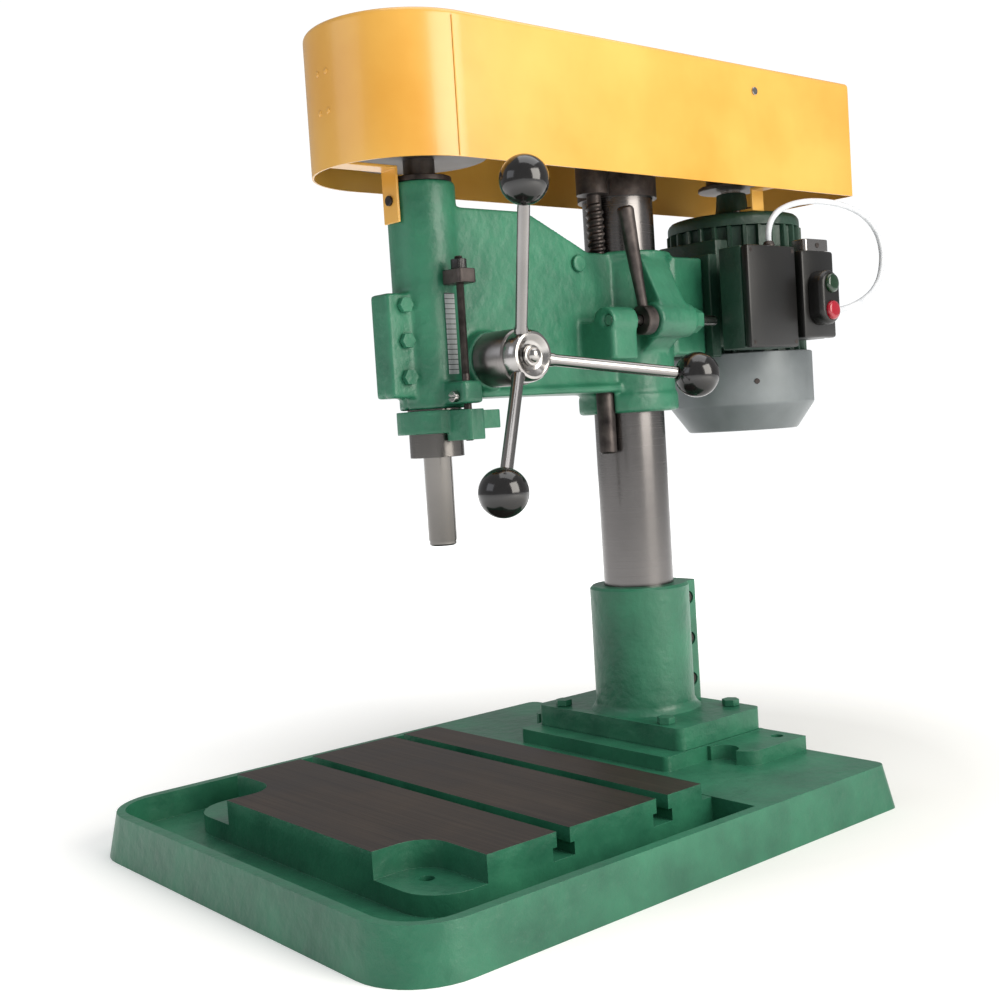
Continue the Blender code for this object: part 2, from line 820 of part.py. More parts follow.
cut(
    head,
    rod("sleeve_bore_cut", (0, 0, 0.40), (0, 0, 0.65), COLUMN_RADIUS + SLIDE, sides=48),
    rod(
        "quill_bore_cut",
        (0, SPINDLE_Y, 0.44),
        (0, SPINDLE_Y, QUILL_TOP + 0.004),
        QUILL_RADIUS + SLIDE,
        sides=40,
    ),
    rod("pulley_bore_cut", (0, SPINDLE_Y, 0.58), (0, SPINDLE_Y, 0.70), 0.0200, sides=32),
    rod(
        "lift_bore_cut",
        (SCREW_X, SCREW_Y, 0.40),
        (SCREW_X, SCREW_Y, 0.65),
        SCREW_RADIUS + 0.0005,
        sides=12,
    ),
    rod("pinion_bore_cut", (-0.060, FEED_Y, FEED_Z), (0.012, FEED_Y, FEED_Z), 0.0212, sides=32),
    rod("pinion_shaft_cut", (0.0, FEED_Y, FEED_Z), (0.060, FEED_Y, FEED_Z), FEED_SHAFT + SLIDE, sides=32),
    rod(
        "guide_bore_cut",
        (DEPTH_ROD_X, SPINDLE_Y, 0.44),
        (DEPTH_ROD_X, SPINDLE_Y, 0.48),
        DEPTH_ROD_RADIUS + SLIDE,
        sides=16,
    ),
    rod(
        "guide_tap_cut",
        (DEPTH_ROD_X, LUG_FACE - 0.01, LUG_MIDDLE),
        (DEPTH_ROD_X, LUG_FACE + 0.0065, LUG_MIDDLE),
        LUG_SCREW_RADIUS + 0.0004,
        sides=12,
    ),
    block("lug_split_cut", (-0.0015, 0.0015), (-0.360, SPINDLE_Y - 0.02), (0.44, LUG_TOP - 0.001)),
    rod("lock_hole_cut", (LOCK_X, -0.110, LOCK_Z), (LOCK_X, 0.040, LOCK_Z), STUD_RADIUS + 0.0004, sides=20),
    rod("oil_hole_cut", (0.020, OIL_Y, OIL_Z), (0.040, OIL_Y, OIL_Z), OIL_RADIUS + 0.0004, sides=16),
)
turned(
    "oil_plug",
    (ARM_HALF, OIL_Y, OIL_Z),
    (1, 0, 0),
    [
        (0.0, 0.0055),
        (0.006, 0.0055),
        (0.0092, 0.0040),
        (0.0092, GAP),
        (OIL_RADIUS, GAP),
        (OIL_RADIUS, -0.008),
        (0.0, -0.008),
    ],
    GREEN,
    sides=24,
)

for row, z in enumerate(LUG_BOLT_Z):
    cut(
        head,
        rod(
            "lug_hole_cut",
            (-0.03, LUG_BOLT_Y, z),
            (0.03, LUG_BOLT_Y, z),
            LUG_BOLT_RADIUS + 0.0006,
            sides=16,
        ),
    )
    bolt = rod(
        "housing_clamp_bolt_%d" % (row + 1), (LUG_HALF + GAP, LUG_BOLT_Y, z), (
            LUG_HALF + 0.0065,
            LUG_BOLT_Y,
            z,
        ), 0.0082, GREEN, sides=6
    )
    fuse(
        bolt,
        rod(
            "lug_shank_add",
            (-0.0145, LUG_BOLT_Y, z),
            (LUG_HALF + 0.004, LUG_BOLT_Y, z),
            LUG_BOLT_RADIUS,
            sides=16,
        ),
    )

# ---- column lock: stud, nut and lever ----
stud = rod("lock_stud", (LOCK_X, -0.097, LOCK_Z), (LOCK_X, 0.072, LOCK_Z), STUD_RADIUS, STEEL, sides=20)
lock_nut = rod("lock_nut", (LOCK_X, 0.0263, LOCK_Z), (LOCK_X, 0.0420, LOCK_Z), 0.0145, GREEN, sides=6)
cut(
    lock_nut,
    rod("lock_nut_cut", (LOCK_X, 0.0, LOCK_Z), (LOCK_X, 0.1, LOCK_Z), STUD_RADIUS + GAP, sides=20),
)
lever = rod(
    "lock_lever",
    (LOCK_X, LEVER_Y - 0.0075, LOCK_Z),
    (LOCK_X, LEVER_Y + 0.0075, LOCK_Z),
    0.0160,
    DARK_STEEL,
    sides=28,
)
lever_top = Vector((LOCK_X + 0.003, -0.066, 0.648))
fuse(lever, rod("lever_bar_add", (LOCK_X, -0.043, LOCK_Z + 0.010), lever_top, 0.0055, sides=16, tip=0.0095))
cut(
    lever,
    rod("lever_bore_cut", (LOCK_X, -0.060, LOCK_Z), (LOCK_X, -0.020, LOCK_Z), STUD_RADIUS + GAP, sides=20),
)

# ---- quill with its rack, spindle, depth collar and depth rod ----
quill = rod("quill", (0, SPINDLE_Y, QUILL_BOTTOM), (0, SPINDLE_Y, QUILL_TOP), QUILL_RADIUS, STEEL, sides=40)
pitch = math.pi * FEED_MODULE
pitch_radius = FEED_MODULE * FEED_TEETH / 2
rack_line = FEED_Y - pitch_radius
rack = [(rack_line + 0.012, FEED_Z - 3.5 * pitch), (rack_line + 0.0024, FEED_Z - 3.5 * pitch)]
for tooth in range(-3, 15):
    z = FEED_Z + tooth * pitch
    rack += [
        (rack_line + 0.0024, z - 0.0032),
        (rack_line - 0.0031, z - 0.0014),
        (rack_line - 0.0031, z + 0.0014),
        (rack_line + 0.0024, z + 0.0032),
    ]
rack += [(rack_line + 0.0024, QUILL_TOP + 0.003), (rack_line + 0.012, QUILL_TOP + 0.003)]
cut(
    quill,
    rod("quill_inner_cut", (0, SPINDLE_Y, 0.38), (0, SPINDLE_Y, 0.62), NOSE_RADIUS + SLIDE, sides=32),
    outline("rack_cut", [rack], -0.010, 0.010, SIDEWAYS),
)
spindle = turned(
    "spindle",
    (0, SPINDLE_Y, 0),
    (0, 0, 1),
    [
        (0.0, SPLINE_TOP),
        (SPLINE_RADIUS, SPLINE_TOP),
        (SPLINE_RADIUS, QUILL_TOP + 0.006),
        (NOSE_RADIUS, QUILL_TOP + 0.004),
        (NOSE_RADIUS, NOSE_BOTTOM + 0.002),
        (NOSE_RADIUS - 0.002, NOSE_BOTTOM),
        (TAPER_MOUTH, NOSE_BOTTOM),
        (TAPER_MOUTH - TAPER_DEPTH / 40, NOSE_BOTTOM + TAPER_DEPTH),
        (0.0, NOSE_BOTTOM + TAPER_DEPTH),
    ],
    STEEL,
    sides=32,
)
key = block(
    "spline_key_add",
    (-0.002, 0.002),
    (SPINDLE_Y - 0.0112, SPINDLE_Y),
    (QUILL_TOP + 0.02, SPLINE_TOP - 0.002),
)
fuse(spindle, key)
collar = rod(
    "depth_collar",
    (0, SPINDLE_Y, COLLAR_BOTTOM),
    (0, SPINDLE_Y, COLLAR_TOP),
    COLLAR_RADIUS,
    GREEN,
    sides=36,
)
fuse(
    collar,
    block(
        "collar_ear_add",
        (0.030, DEPTH_ROD_X + 0.014),
        (SPINDLE_Y - 0.011, SPINDLE_Y + 0.011),
        (COLLAR_BOTTOM - 0.008, COLLAR_TOP - 0.001),
        corner=0.004,
        steps=2,
    ),
    block(
        "collar_tail_add",
        (0.0, 0.028),
        (SPINDLE_Y, -0.216),
        (COLLAR_BOTTOM + 0.002, COLLAR_TOP - 0.002),
        corner=0.004,
        steps=2,
    ),
)
cut(
    collar,
    rod("collar_bore_cut", (0, SPINDLE_Y, 0.38), (0, SPINDLE_Y, 0.46), QUILL_RADIUS + SLIDE, sides=40),
    rod(
        "collar_rod_cut",
        (DEPTH_ROD_X, SPINDLE_Y, 0.38),
        (DEPTH_ROD_X, SPINDLE_Y, 0.46),
        DEPTH_ROD_RADIUS + SLIDE,
        sides=16,
    ),
)
depth_rod = rod(
    "depth_rod", (
        DEPTH_ROD_X,
        SPINDLE_Y,
        COLLAR_BOTTOM - 0.009,
    ), (DEPTH_ROD_X, SPINDLE_Y, DEPTH_ROD_TOP), DEPTH_ROD_RADIUS, DARK_STEEL, sides=16
)
pointer = block(
    "depth_pointer", (
        DEPTH_ROD_X - 0.0155,
        DEPTH_ROD_X + 0.014,
    ), (SPINDLE_Y - 0.011, SPINDLE_Y + 0.011), POINTER_Z, DARK_STEEL, corner=0.004, steps=2
)
cut(
    pointer,
    rod(
        "pointer_cut",
        (DEPTH_ROD_X, SPINDLE_Y, 0.55),
        (DEPTH_ROD_X, SPINDLE_Y, 0.60),
        DEPTH_ROD_RADIUS + SLIDE,
        sides=16,
    ),
)
depth_nut = rod(
    "depth_nut",
    (DEPTH_ROD_X, SPINDLE_Y, POINTER_Z[1] + 0.0005),
    (DEPTH_ROD_X, SPINDLE_Y, POINTER_Z[1] + 0.0100),
    0.0082,
    BLACK,
    sides=6,
)
cut(
    depth_nut,
    rod(
        "depth_nut_cut",
        (DEPTH_ROD_X, SPINDLE_Y, 0.56),
        (DEPTH_ROD_X, SPINDLE_Y, 0.60),
        DEPTH_ROD_RADIUS + SLIDE,
        sides=16,
    ),
)

# ---- feed: pinion shaft, capstan hub, three tilted handles with ball knobs, spring drum ----
gear = []
for tooth in range(FEED_TEETH):
    middle = math.pi + tooth * 2 * math.pi / FEED_TEETH
    for offset, radius in (
        (-0.0028 / pitch_radius, pitch_radius - 0.0030),
        (-0.0010 / pitch_radius, pitch_radius + 0.0023),
        (0.0010 / pitch_radius, pitch_radius + 0.0023),
        (0.0028 / pitch_radius, pitch_radius - 0.0030),
    ):
        angle = middle + offset
        gear.append((FEED_Y + radius * math.cos(angle), FEED_Z + radius * math.sin(angle)))
pinion = outline("feed_pinion", [gear], -FEED_FACE / 2, FEED_FACE / 2, SIDEWAYS, STEEL)
fuse(
    pinion,
    rod("pinion_shaft_add", (-0.043, FEED_Y, FEED_Z), (0.100, FEED_Y, FEED_Z), FEED_SHAFT, sides=32),
)
hub = turned(
    "capstan_hub",
    (0, FEED_Y, FEED_Z),
    (1, 0, 0),
    [
        (0.0, HUB_FACE - 0.004),
        (0.014, HUB_FACE - 0.005),
        (0.018, HUB_FACE - 0.002),
        (0.021, HUB_FACE),
        (0.0245, HUB_FACE - 0.002),
        (0.0260, HUB_FACE - 0.006),
        (HUB_RADIUS, HUB_FACE - 0.024),
        (HUB_RADIUS, HUB_INNER + 0.002),
        (HUB_RADIUS - 0.002, HUB_INNER),
        (0.0, HUB_INNER),
    ],
    DARK_STEEL,
    sides=32,
)
cut(hub, rod("hub_bore_cut", (0.0, FEED_Y, FEED_Z), (0.1003, FEED_Y, FEED_Z), FEED_SHAFT + GAP, sides=32))
hub_nut = turned(
    "hub_nut",
    (HUB_FACE - 0.0045, FEED_Y, FEED_Z),
    (1, 0, 0),
    [
        (0.0, 0.0105),
        (0.004, 0.0098),
        (0.0070, 0.0070),
        (0.0070, 0.0035),
        (0.0105, 0.0030),
        (0.0105, GAP * 2),
        (0.0, GAP * 2),
    ],
    STEEL,
    sides=24,
)
hub_centre = Vector((ROD_ORIGIN, FEED_Y, FEED_Z))
for number, name in enumerate(("up", "back", "down")):
    angle = ROD_PHASE - number * 2 * math.pi / 3
    aim = Vector(
        (math.sin(ROD_TILT), math.cos(ROD_TILT) * math.cos(angle), math.cos(ROD_TILT) * math.sin(angle))
    )
    knob_at = hub_centre + aim * ROD_REACH
    cut(
        hub,
        rod(
            "handle_socket_cut",
            hub_centre + aim * 0.0148,
            hub_centre + aim * 0.045,
            ROD_RADIUS + GAP,
            sides=12,
        ),
    )
    handle = rod(
        "handle_rod_" + name,
        hub_centre + aim * 0.0152,
        knob_at + aim * 0.006,
        ROD_RADIUS,
        STEEL,
        sides=12,
    )
    set_origin(handle, (0, FEED_Y, FEED_Z))
    knob = ball("handle_knob_" + name, knob_at, KNOB_RADIUS, BLACK, sides=16)
    cut(
        knob,
        rod("knob_socket_cut", knob_at - aim * 0.030, knob_at + aim * 0.0063, ROD_RADIUS + GAP, sides=12),
    )
    set_origin(knob, (0, FEED_Y, FEED_Z))
drum = turned(
    "spring_drum",
    (0, FEED_Y, FEED_Z),
    (-1, 0, 0),
    [
        (0.0, 0.074),
        (0.037, 0.074),
        (0.040, 0.071),
        (0.040, 0.0443),
        (0.036, 0.0443),
        (0.036, 0.071),
        (0.0, 0.071),
    ],
    DARK_STEEL,
    sides=28,
)

# ---- belt drive: two stepped pulleys and the belt ----
bearing_top = HOUSING_TOP + 0.006


def pulley_profile(small_first):
    """The stepped V grooves of a pulley, from its top edge down the outer side."""
    points = []
    for step in reversed(range(PULLEY_STEPS)):
        radius = PULLEY_SMALL + PULLEY_RISE * (step if small_first else PULLEY_STEPS - 1 - step)
        middle = PULLEY_BOTTOM + (step + 0.5) * PULLEY_STEP
        points += [
            (radius, middle + PULLEY_STEP / 2),
            (radius, middle + GROOVE_HALF),
            (radius - GROOVE_DEPTH, middle + GROOVE_HALF - 0.0028),
            (radius - GROOVE_DEPTH, middle - GROOVE_HALF + 0.0028),
            (radius, middle - GROOVE_HALF),
            (radius, middle - PULLEY_STEP / 2),
        ]
    return points


pulley_top = PULLEY_BOTTOM + PULLEY_STEPS * PULLEY_STEP
spindle_pulley = turned(
    "spindle_pulley",
    (0, SPINDLE_Y, 0),
    (0, 0, 1),
    pulley_profile(False)
    + [
        (PULLEY_SLEEVE, PULLEY_BOTTOM),
        (PULLEY_SLEEVE, QUILL_TOP + 0.008),
        (SPLINE_RADIUS + GAP, QUILL_TOP + 0.008),
        (SPLINE_RADIUS + GAP, pulley_top),
    ],
    CAST_IRON,
    sides=28,
)
cut(
    spindle_pulley,
    block("key_way_cut", (-0.0023, 0.0023), (SPINDLE_Y - 0.0116, SPINDLE_Y), (0.60, 0.82)),
)
turned(
    "housing_bearing",
    (0, SPINDLE_Y, 0),
    (0, 0, 1),
    [
        (0.0165, bearing_top),
        (0.0320, bearing_top),
        (0.0320, HOUSING_TOP + GAP),
        (0.0197, HOUSING_TOP + GAP),
        (0.0197, 0.640),
        (0.0165, 0.640),
    ],
    DARK_STEEL,
    sides=28,
)
motor_pulley = turned(
    "motor_pulley",
    (0, MOTOR_Y, 0),
    (0, 0, 1),
    pulley_profile(True) + [(SHAFT_RADIUS + GAP, PULLEY_BOTTOM), (SHAFT_RADIUS + GAP, pulley_top)],
    CAST_IRON,
    sides=28,
)
belt_z = PULLEY_BOTTOM + (BELT_STEP + 0.5) * PULLEY_STEP
front_radius = PULLEY_SMALL + PULLEY_RISE * (PULLEY_STEPS - 1 - BELT_STEP) - 0.0010
back_radius = PULLEY_SMALL + PULLEY_RISE * BELT_STEP - 0.0010
lean = math.degrees(math.asin((front_radius - back_radius) / (MOTOR_Y - SPINDLE_Y)))
track = arc((0, SPINDLE_Y), front_radius, 180 - lean, 360 + lean, 20)
track += arc((0, MOTOR_Y), back_radius, lean, 180 - lean, 20)
section = bpy.data.curves.new("belt_section", "CURVE")
section.dimensions = "2D"
ring = section.splines.new("POLY")
ring.points.add(3)
corners = (
    (0.0, BELT_WIDTH / 2),
    (0.0, -BELT_WIDTH / 2),
    (-BELT_DEPTH, -BELT_WIDTH / 2 + 0.0024),
    (-BELT_DEPTH, BELT_WIDTH / 2 - 0.0024),
)
for spot, (out, up) in zip(ring.points, corners):
    spot.co = (out, up, 0.0, 1.0)
ring.use_cyclic_u = True
section_holder = bpy.data.objects.new("belt_section", section)
HELPERS.objects.link(section_holder)
section_holder.hide_render = True
belt_curve = bpy.data.curves.new("drive_belt", "CURVE")
belt_curve.dimensions = "3D"
belt_curve.twist_mode = "Z_UP"
belt_curve.bevel_mode = "OBJECT"
belt_curve.bevel_object = section_holder
run = belt_curve.splines.new("POLY")
run.points.add(len(track) - 1)
for spot, (x, y) in zip(run.points, track):
    spot.co = (x, y, belt_z, 1.0)
run.use_cyclic_u = True
belt = bpy.data.objects.new("drive_belt", belt_curve)
PARTS.objects.link(belt)
belt_curve.materials.append(BLACK_RUBBER)

# ---- motor: finned body, end cover, rotor shaft, fan, cowl and mounting plate ----
fins = []
for fin in range(MOTOR_FINS):
    for part, radius in (
        (0.0, MOTOR_RADIUS),
        (0.62, MOTOR_RADIUS),
        (0.68, MOTOR_RADIUS + MOTOR_FIN),
        (0.94, MOTOR_RADIUS + MOTOR_FIN),
    ):
        angle = 2 * math.pi * (fin + part) / MOTOR_FINS
        fins.append((radius * math.cos(angle), MOTOR_Y + radius * math.sin(angle)))
motor = outline("motor_body", [fins], MOTOR_BOTTOM, MOTOR_TOP, FLAT, DARK_GREEN)
fuse(
    motor,
    block(
        "motor_foot_add",
        (-0.046, 0.046),
        (PLATE_BACK + GAP, MOTOR_Y - 0.030),
        (0.497, 0.624),
        corner=0.006,
        steps=2,
    ),
    block("terminal_pad_add", (0.040, BOX_X[0] - GAP), (MOTOR_Y - 0.083, BOX_Y[1] - 0.002), (0.506, 0.592)),
    block(
        "switch_pad_add",
        (0.060, SWITCH_X[0] - GAP),
        (SWITCH_Y[0] + 0.010, SWITCH_Y[1] - 0.010),
        (0.515, 0.588),
    ),
)
cut(motor, rod("motor_bore_cut", (0, MOTOR_Y, 0.45), (0, MOTOR_Y, 0.70), SHAFT_RADIUS + GAP, sides=24))
turned(
    "motor_end_cover",
    (0, MOTOR_Y, 0),
    (0, 0, 1),
    [
        (SHAFT_RADIUS + GAP, COVER_BOSS),
        (0.0185, COVER_BOSS),
        (0.0200, COVER_BOSS - 0.002),
        (0.0215, COVER_TOP + 0.010),
        (0.0300, COVER_TOP),
        (MOTOR_RADIUS - 0.002, COVER_TOP),
        (MOTOR_RADIUS + 0.004, COVER_TOP - 0.007),
        (MOTOR_RADIUS + 0.004, MOTOR_TOP + GAP),
        (SHAFT_RADIUS + GAP, MOTOR_TOP + GAP),
    ],
    DARK_GREEN,
    sides=40,
)
rotor = rod("rotor_shaft", (0, MOTOR_Y, 0.416), (0, MOTOR_Y, 0.794), SHAFT_RADIUS, STEEL, sides=24)
fan = rod("motor_fan", (0, MOTOR_Y, 0.438), (0, MOTOR_Y, 0.462), 0.022, BLACK, sides=24)
fuse(fan, rod("fan_disc_add", (0, MOTOR_Y, 0.458), (0, MOTOR_Y, 0.461), FAN_RADIUS, sides=28))
for blade in range(FAN_BLADES):
    angle = blade * 2 * math.pi / FAN_BLADES
    along = Vector((math.cos(angle), math.sin(angle), 0))
    across = Vector((-along.y, along.x, 0)) * 0.0012
    root, tip = along * 0.018, along * (FAN_RADIUS - 0.002)
    corners = [root - across, tip - across, tip + across, root + across]
    fuse(fan, outline("fan_blade_add", [[(c.x, c.y + MOTOR_Y) for c in corners]], 0.436, 0.459, FLAT))
cut(fan, rod("fan_bore_cut", (0, MOTOR_Y, 0.42), (0, MOTOR_Y, 0.48), SHAFT_RADIUS + GAP, sides=24))
cowl = turned(
    "fan_cowl",
    (0, MOTOR_Y, 0),
    (0, 0, 1),
    [
        (COWL_RADIUS, COWL_TOP),
        (COWL_RADIUS, COWL_EDGE),
        (COWL_RADIUS - 0.022, COWL_BOTTOM),
        (0.0, COWL_BOTTOM),
        (0.0, COWL_BOTTOM + SHEET),
        (COWL_RADIUS - 0.023, COWL_BOTTOM + SHEET),
        (COWL_RADIUS - SHEET, COWL_EDGE + 0.001),
        (COWL_RADIUS - SHEET, COWL_TOP),
    ],
    GREY,
    sides=36,
)
grille_radius = COWL_RADIUS - 0.032
grille_pitch = 0.014
for slot in range(-3, 4):
    y = MOTOR_Y + slot * grille_pitch
    reach = math.sqrt(grille_radius**2 - (slot * grille_pitch) ** 2)
    cut(cowl, block("grille_cut", (-reach, reach), (y - 0.0035, y + 0.0035), (0.38, COWL_BOTTOM + 0.006)))
block("motor_plate", (-0.048, 0.048), (PLATE_FRONT + GAP, PLATE_BACK), (0.486, 0.606), DARK_GREEN)

# ---- belt guard and its brackets ----


def guard_outline(shrink):
    half = GUARD_HALF - shrink
    nose = arc((0, GUARD_FRONT + GUARD_HALF), half, 180, 360, 24)
    return nose + [(half, GUARD_BACK - shrink), (-half, GUARD_BACK - shrink)]


guard = outline("belt_guard", [guard_outline(0.0)], GUARD_BOTTOM, GUARD_TOP, FLAT, YELLOW)
cut(
    guard,
    outline("guard_inside_cut", [guard_outline(SHEET)], GUARD_BOTTOM - 0.02, GUARD_TOP - SHEET, FLAT),
)

wall = GUARD_FRONT + SHEET + 0.0012
strap_back = SPINDLE_Y - HOUSING_RADIUS - 0.0005
strap_front = strap_back - STRAP_THICK
shelf_top = STRAP_SHELF + STRAP_THICK
outline(
    "guard_strap_front",
    [
        [
            (strap_back, 0.628),
            (strap_back, shelf_top),
            (wall + STRAP_THICK, shelf_top),
            (wall + STRAP_THICK, shelf_top + 0.012),
            (wall, shelf_top + 0.012),
            (wall, STRAP_SHELF),
            (strap_front, STRAP_SHELF),
            (strap_front, 0.628),
        ]
    ],
    -0.012,
    0.012,
    SIDEWAYS,
    YELLOW,
)
side_wall = GUARD_HALF - SHEET - GAP
bracket_foot = COVER_TOP + GAP
outline(
    "guard_bracket_rear",
    [
        [
            (BRACKET_X, bracket_foot),
            (BRACKET_RISER, bracket_foot),
            (BRACKET_RISER, STRAP_SHELF),
            (side_wall, STRAP_SHELF),
            (side_wall, shelf_top + 0.012),
            (side_wall - STRAP_THICK, shelf_top + 0.012),
            (side_wall - STRAP_THICK, shelf_top),
            (BRACKET_RISER - STRAP_THICK, shelf_top),
            (BRACKET_RISER - STRAP_THICK, bracket_foot + STRAP_THICK),
            (BRACKET_X, bracket_foot + STRAP_THICK),
        ]
    ],
    -BRACKET_Y - BRACKET_WIDTH / 2,
    -BRACKET_Y + BRACKET_WIDTH / 2,
    FACING,
    YELLOW,
)

# ---- electrics: terminal box and lid, switch box with its two buttons, and the looped cable ----
terminal = block("terminal_box", BOX_X, BOX_Y, BOX_Z, DARK_GREEN)
gland_y = BOX_Y[1] - 0.022
gland_top = BOX_Z[1] + GLAND_LENGTH
fuse(
    terminal,
    rod(
        "terminal_gland_add",
        (CABLE_X, gland_y, BOX_Z[1] - 0.004),
        (CABLE_X, gland_y, gland_top),
        GLAND_RADIUS,
        sides=20,
    ),
)
lid_face = BOX_X[1] + GAP
terminal_lid = block("terminal_lid", (lid_face, lid_face + LID_DEPTH), BOX_Y, BOX_Z, BLACK)
switch = block("switch_box", SWITCH_X, SWITCH_Y, SWITCH_Z, BLACK)
gland_z = 0.535
gland_end = SWITCH_Y[1] + GLAND_LENGTH
fuse(
    switch,
    rod(
        "switch_gland_add",
        (CABLE_X, SWITCH_Y[1] - 0.004, gland_z),
        (CABLE_X, gland_end, gland_z),
        GLAND_RADIUS,
        sides=20,
    ),
)
bezel_back = SWITCH_X[1] + GAP
bezel_face = bezel_back + BEZEL_DEPTH
bezel_low = STOP_Z - BEZEL_HALF + 0.002
bezel_high = START_Z + BEZEL_HALF - 0.002
stadium = arc((BEZEL_Y, bezel_high - BEZEL_HALF), BEZEL_HALF, 0, 180, 12)
stadium += arc((BEZEL_Y, bezel_low + BEZEL_HALF), BEZEL_HALF, 180, 360, 12)
bezel = outline("switch_bezel", [stadium], bezel_back, bezel_face, SIDEWAYS, BLACK)
for name, z, paint in (("start_button", START_Z, START_GREEN), ("stop_button", STOP_Z, RED)):
    cut(
        bezel,
        rod(
            "button_well_cut",
            (bezel_face - BUTTON_WELL, BEZEL_Y, z),
            (0.2, BEZEL_Y, z),
            BUTTON_RADIUS + SLIDE * 3,
            sides=24,
        ),
    )
    button = rod(
        name, (
            bezel_face - BUTTON_WELL + BUTTON_TRAVEL + GAP,
            BEZEL_Y,
            z,
        ), (bezel_face + BUTTON_PROUD, BEZEL_Y, z), BUTTON_RADIUS, paint, sides=24
    )
    set_origin(button, (bezel_face, BEZEL_Y, z))
block(
    "conduit_block",
    (CABLE_X - 0.006, CABLE_X + 0.016),
    (BEZEL_Y - 0.010, SWITCH_Y[1] + 0.002),
    (SWITCH_Z[1] + GAP, 0.617),
    GREY,
    corner=0.004,
    steps=3,
)

# The cable leaves the terminal box upwards, rounds off behind the motor and enters the switch box.
route = [
    (gland_y, gland_top + GAP),
    (MOTOR_Y - 0.0605, 0.624),
    (MOTOR_Y - 0.055, 0.637),
    (MOTOR_Y - 0.041, 0.649),
    (MOTOR_Y - 0.017, 0.658),
    (MOTOR_Y + 0.013, 0.6635),
    (MOTOR_Y + 0.045, 0.6655),
    (MOTOR_Y + 0.079, 0.664),
    (MOTOR_Y + 0.111, 0.6585),
    (MOTOR_Y + 0.137, 0.648),
    (MOTOR_Y + 0.155, 0.632),
    (MOTOR_Y + 0.1635, 0.612),
    (MOTOR_Y + 0.162, 0.592),
    (MOTOR_Y + 0.153, 0.573),
    (MOTOR_Y + 0.136, 0.558),
    (MOTOR_Y + 0.113, 0.547),
    (MOTOR_Y + 0.087, 0.5395),
    (MOTOR_Y + 0.061, 0.5355),
    (gland_end + GAP, gland_z),
]


def smooth_route(points, spacing):
    """Points along a Catmull-Rom curve through the route, about one spacing apart."""
    ends = [(2 * points[0][0] - points[1][0], 2 * points[0][1] - points[1][1])]
    tail = [(2 * points[-1][0] - points[-2][0], 2 * points[-1][1] - points[-2][1])]
    full = ends + points + tail
    made = []
    for a, b, c, d in zip(full, full[1:], full[2:], full[3:]):
        count = max(1, round(math.dist(b, c) / spacing))
        for part in range(count):
            t = part / count
            made.append(
                [
                    0.5 * (
                        2 * q + (r - p) * t + (
                            2 * p - 5 * q + 4 * r - o
                        ) * t * t + (3 * q - p - 3 * r + o) * t**3
                    )
                    for p, q, r, o in zip(a, b, c, d)
                ]
            )
    return made + [points[-1]]


cable_curve = bpy.data.curves.new("loop_cable", "CURVE")
cable_curve.dimensions = "3D"
cable_curve.bevel_depth = CABLE_RADIUS
cable_curve.bevel_resolution = 2
cable_curve.use_fill_caps = True
cable_points = smooth_route(route, 0.014)
line = cable_curve.splines.new("POLY")
line.points.add(len(cable_points) - 1)
for spot, (y, z) in zip(line.points, cable_points):
    spot.co = (CABLE_X, y, z, 1.0)
cable = bpy.data.objects.new("loop_cable", cable_curve)
PARTS.objects.link(cable)
cable_curve.materials.append(PALE_PVC)

# ---- depth scale and the guide lug's screw ----
depth_scale = block(
    "depth_scale",
    (HOUSING_RADIUS + GAP, HOUSING_RADIUS + 0.0015),
    (SPINDLE_Y - 0.006, SPINDLE_Y + 0.006),
    (GUIDE_LUG_TOP + 0.008, POINTER_Z[0] - 0.007),
    PALE_PVC,
)
lug_screw = rod(
    "guide_lug_screw",
    (DEPTH_ROD_X, LUG_FACE - GAP, LUG_MIDDLE),
    (DEPTH_ROD_X, LUG_FACE - 0.0065, LUG_MIDDLE),
    0.0055,
    STEEL,
    sides=20,
)
fuse(
    lug_screw,
    rod(
        "lug_screw_add",
        (DEPTH_ROD_X, LUG_FACE + 0.0055, LUG_MIDDLE),
        (DEPTH_ROD_X, LUG_FACE - 0.003, LUG_MIDDLE),
        LUG_SCREW_RADIUS,
        sides=12,
    ),
)
cut(
    lug_screw,
    block(
        "lug_screw_slot_cut",
        (DEPTH_ROD_X - 0.01, DEPTH_ROD_X + 0.01),
        (LUG_FACE - 0.01, LUG_FACE - 0.0050),
        (LUG_MIDDLE - 0.0008, LUG_MIDDLE + 0.0008),
    ),
)

# ---- joint axes and shading ----
for made, point in (
    (spindle, (0, SPINDLE_Y, 0)),
    (spindle_pulley, (0, SPINDLE_Y, 0)),
    (pinion, (0, FEED_Y, FEED_Z)),
    (rotor, (0, MOTOR_Y, 0)),
    (lever, (LOCK_X, LEVER_Y, LOCK_Z)),
    (lift, (SCREW_X, SCREW_Y, 0)),
):
    set_origin(made, point)
for made in PARTS.objects:
    if made.type == "MESH":
        made.data.shade_smooth()
        made.data.set_sharp_from_angle(angle=math.radians(35))
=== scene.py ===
import math

import bmesh
import bpy
from mathutils import Matrix, Vector


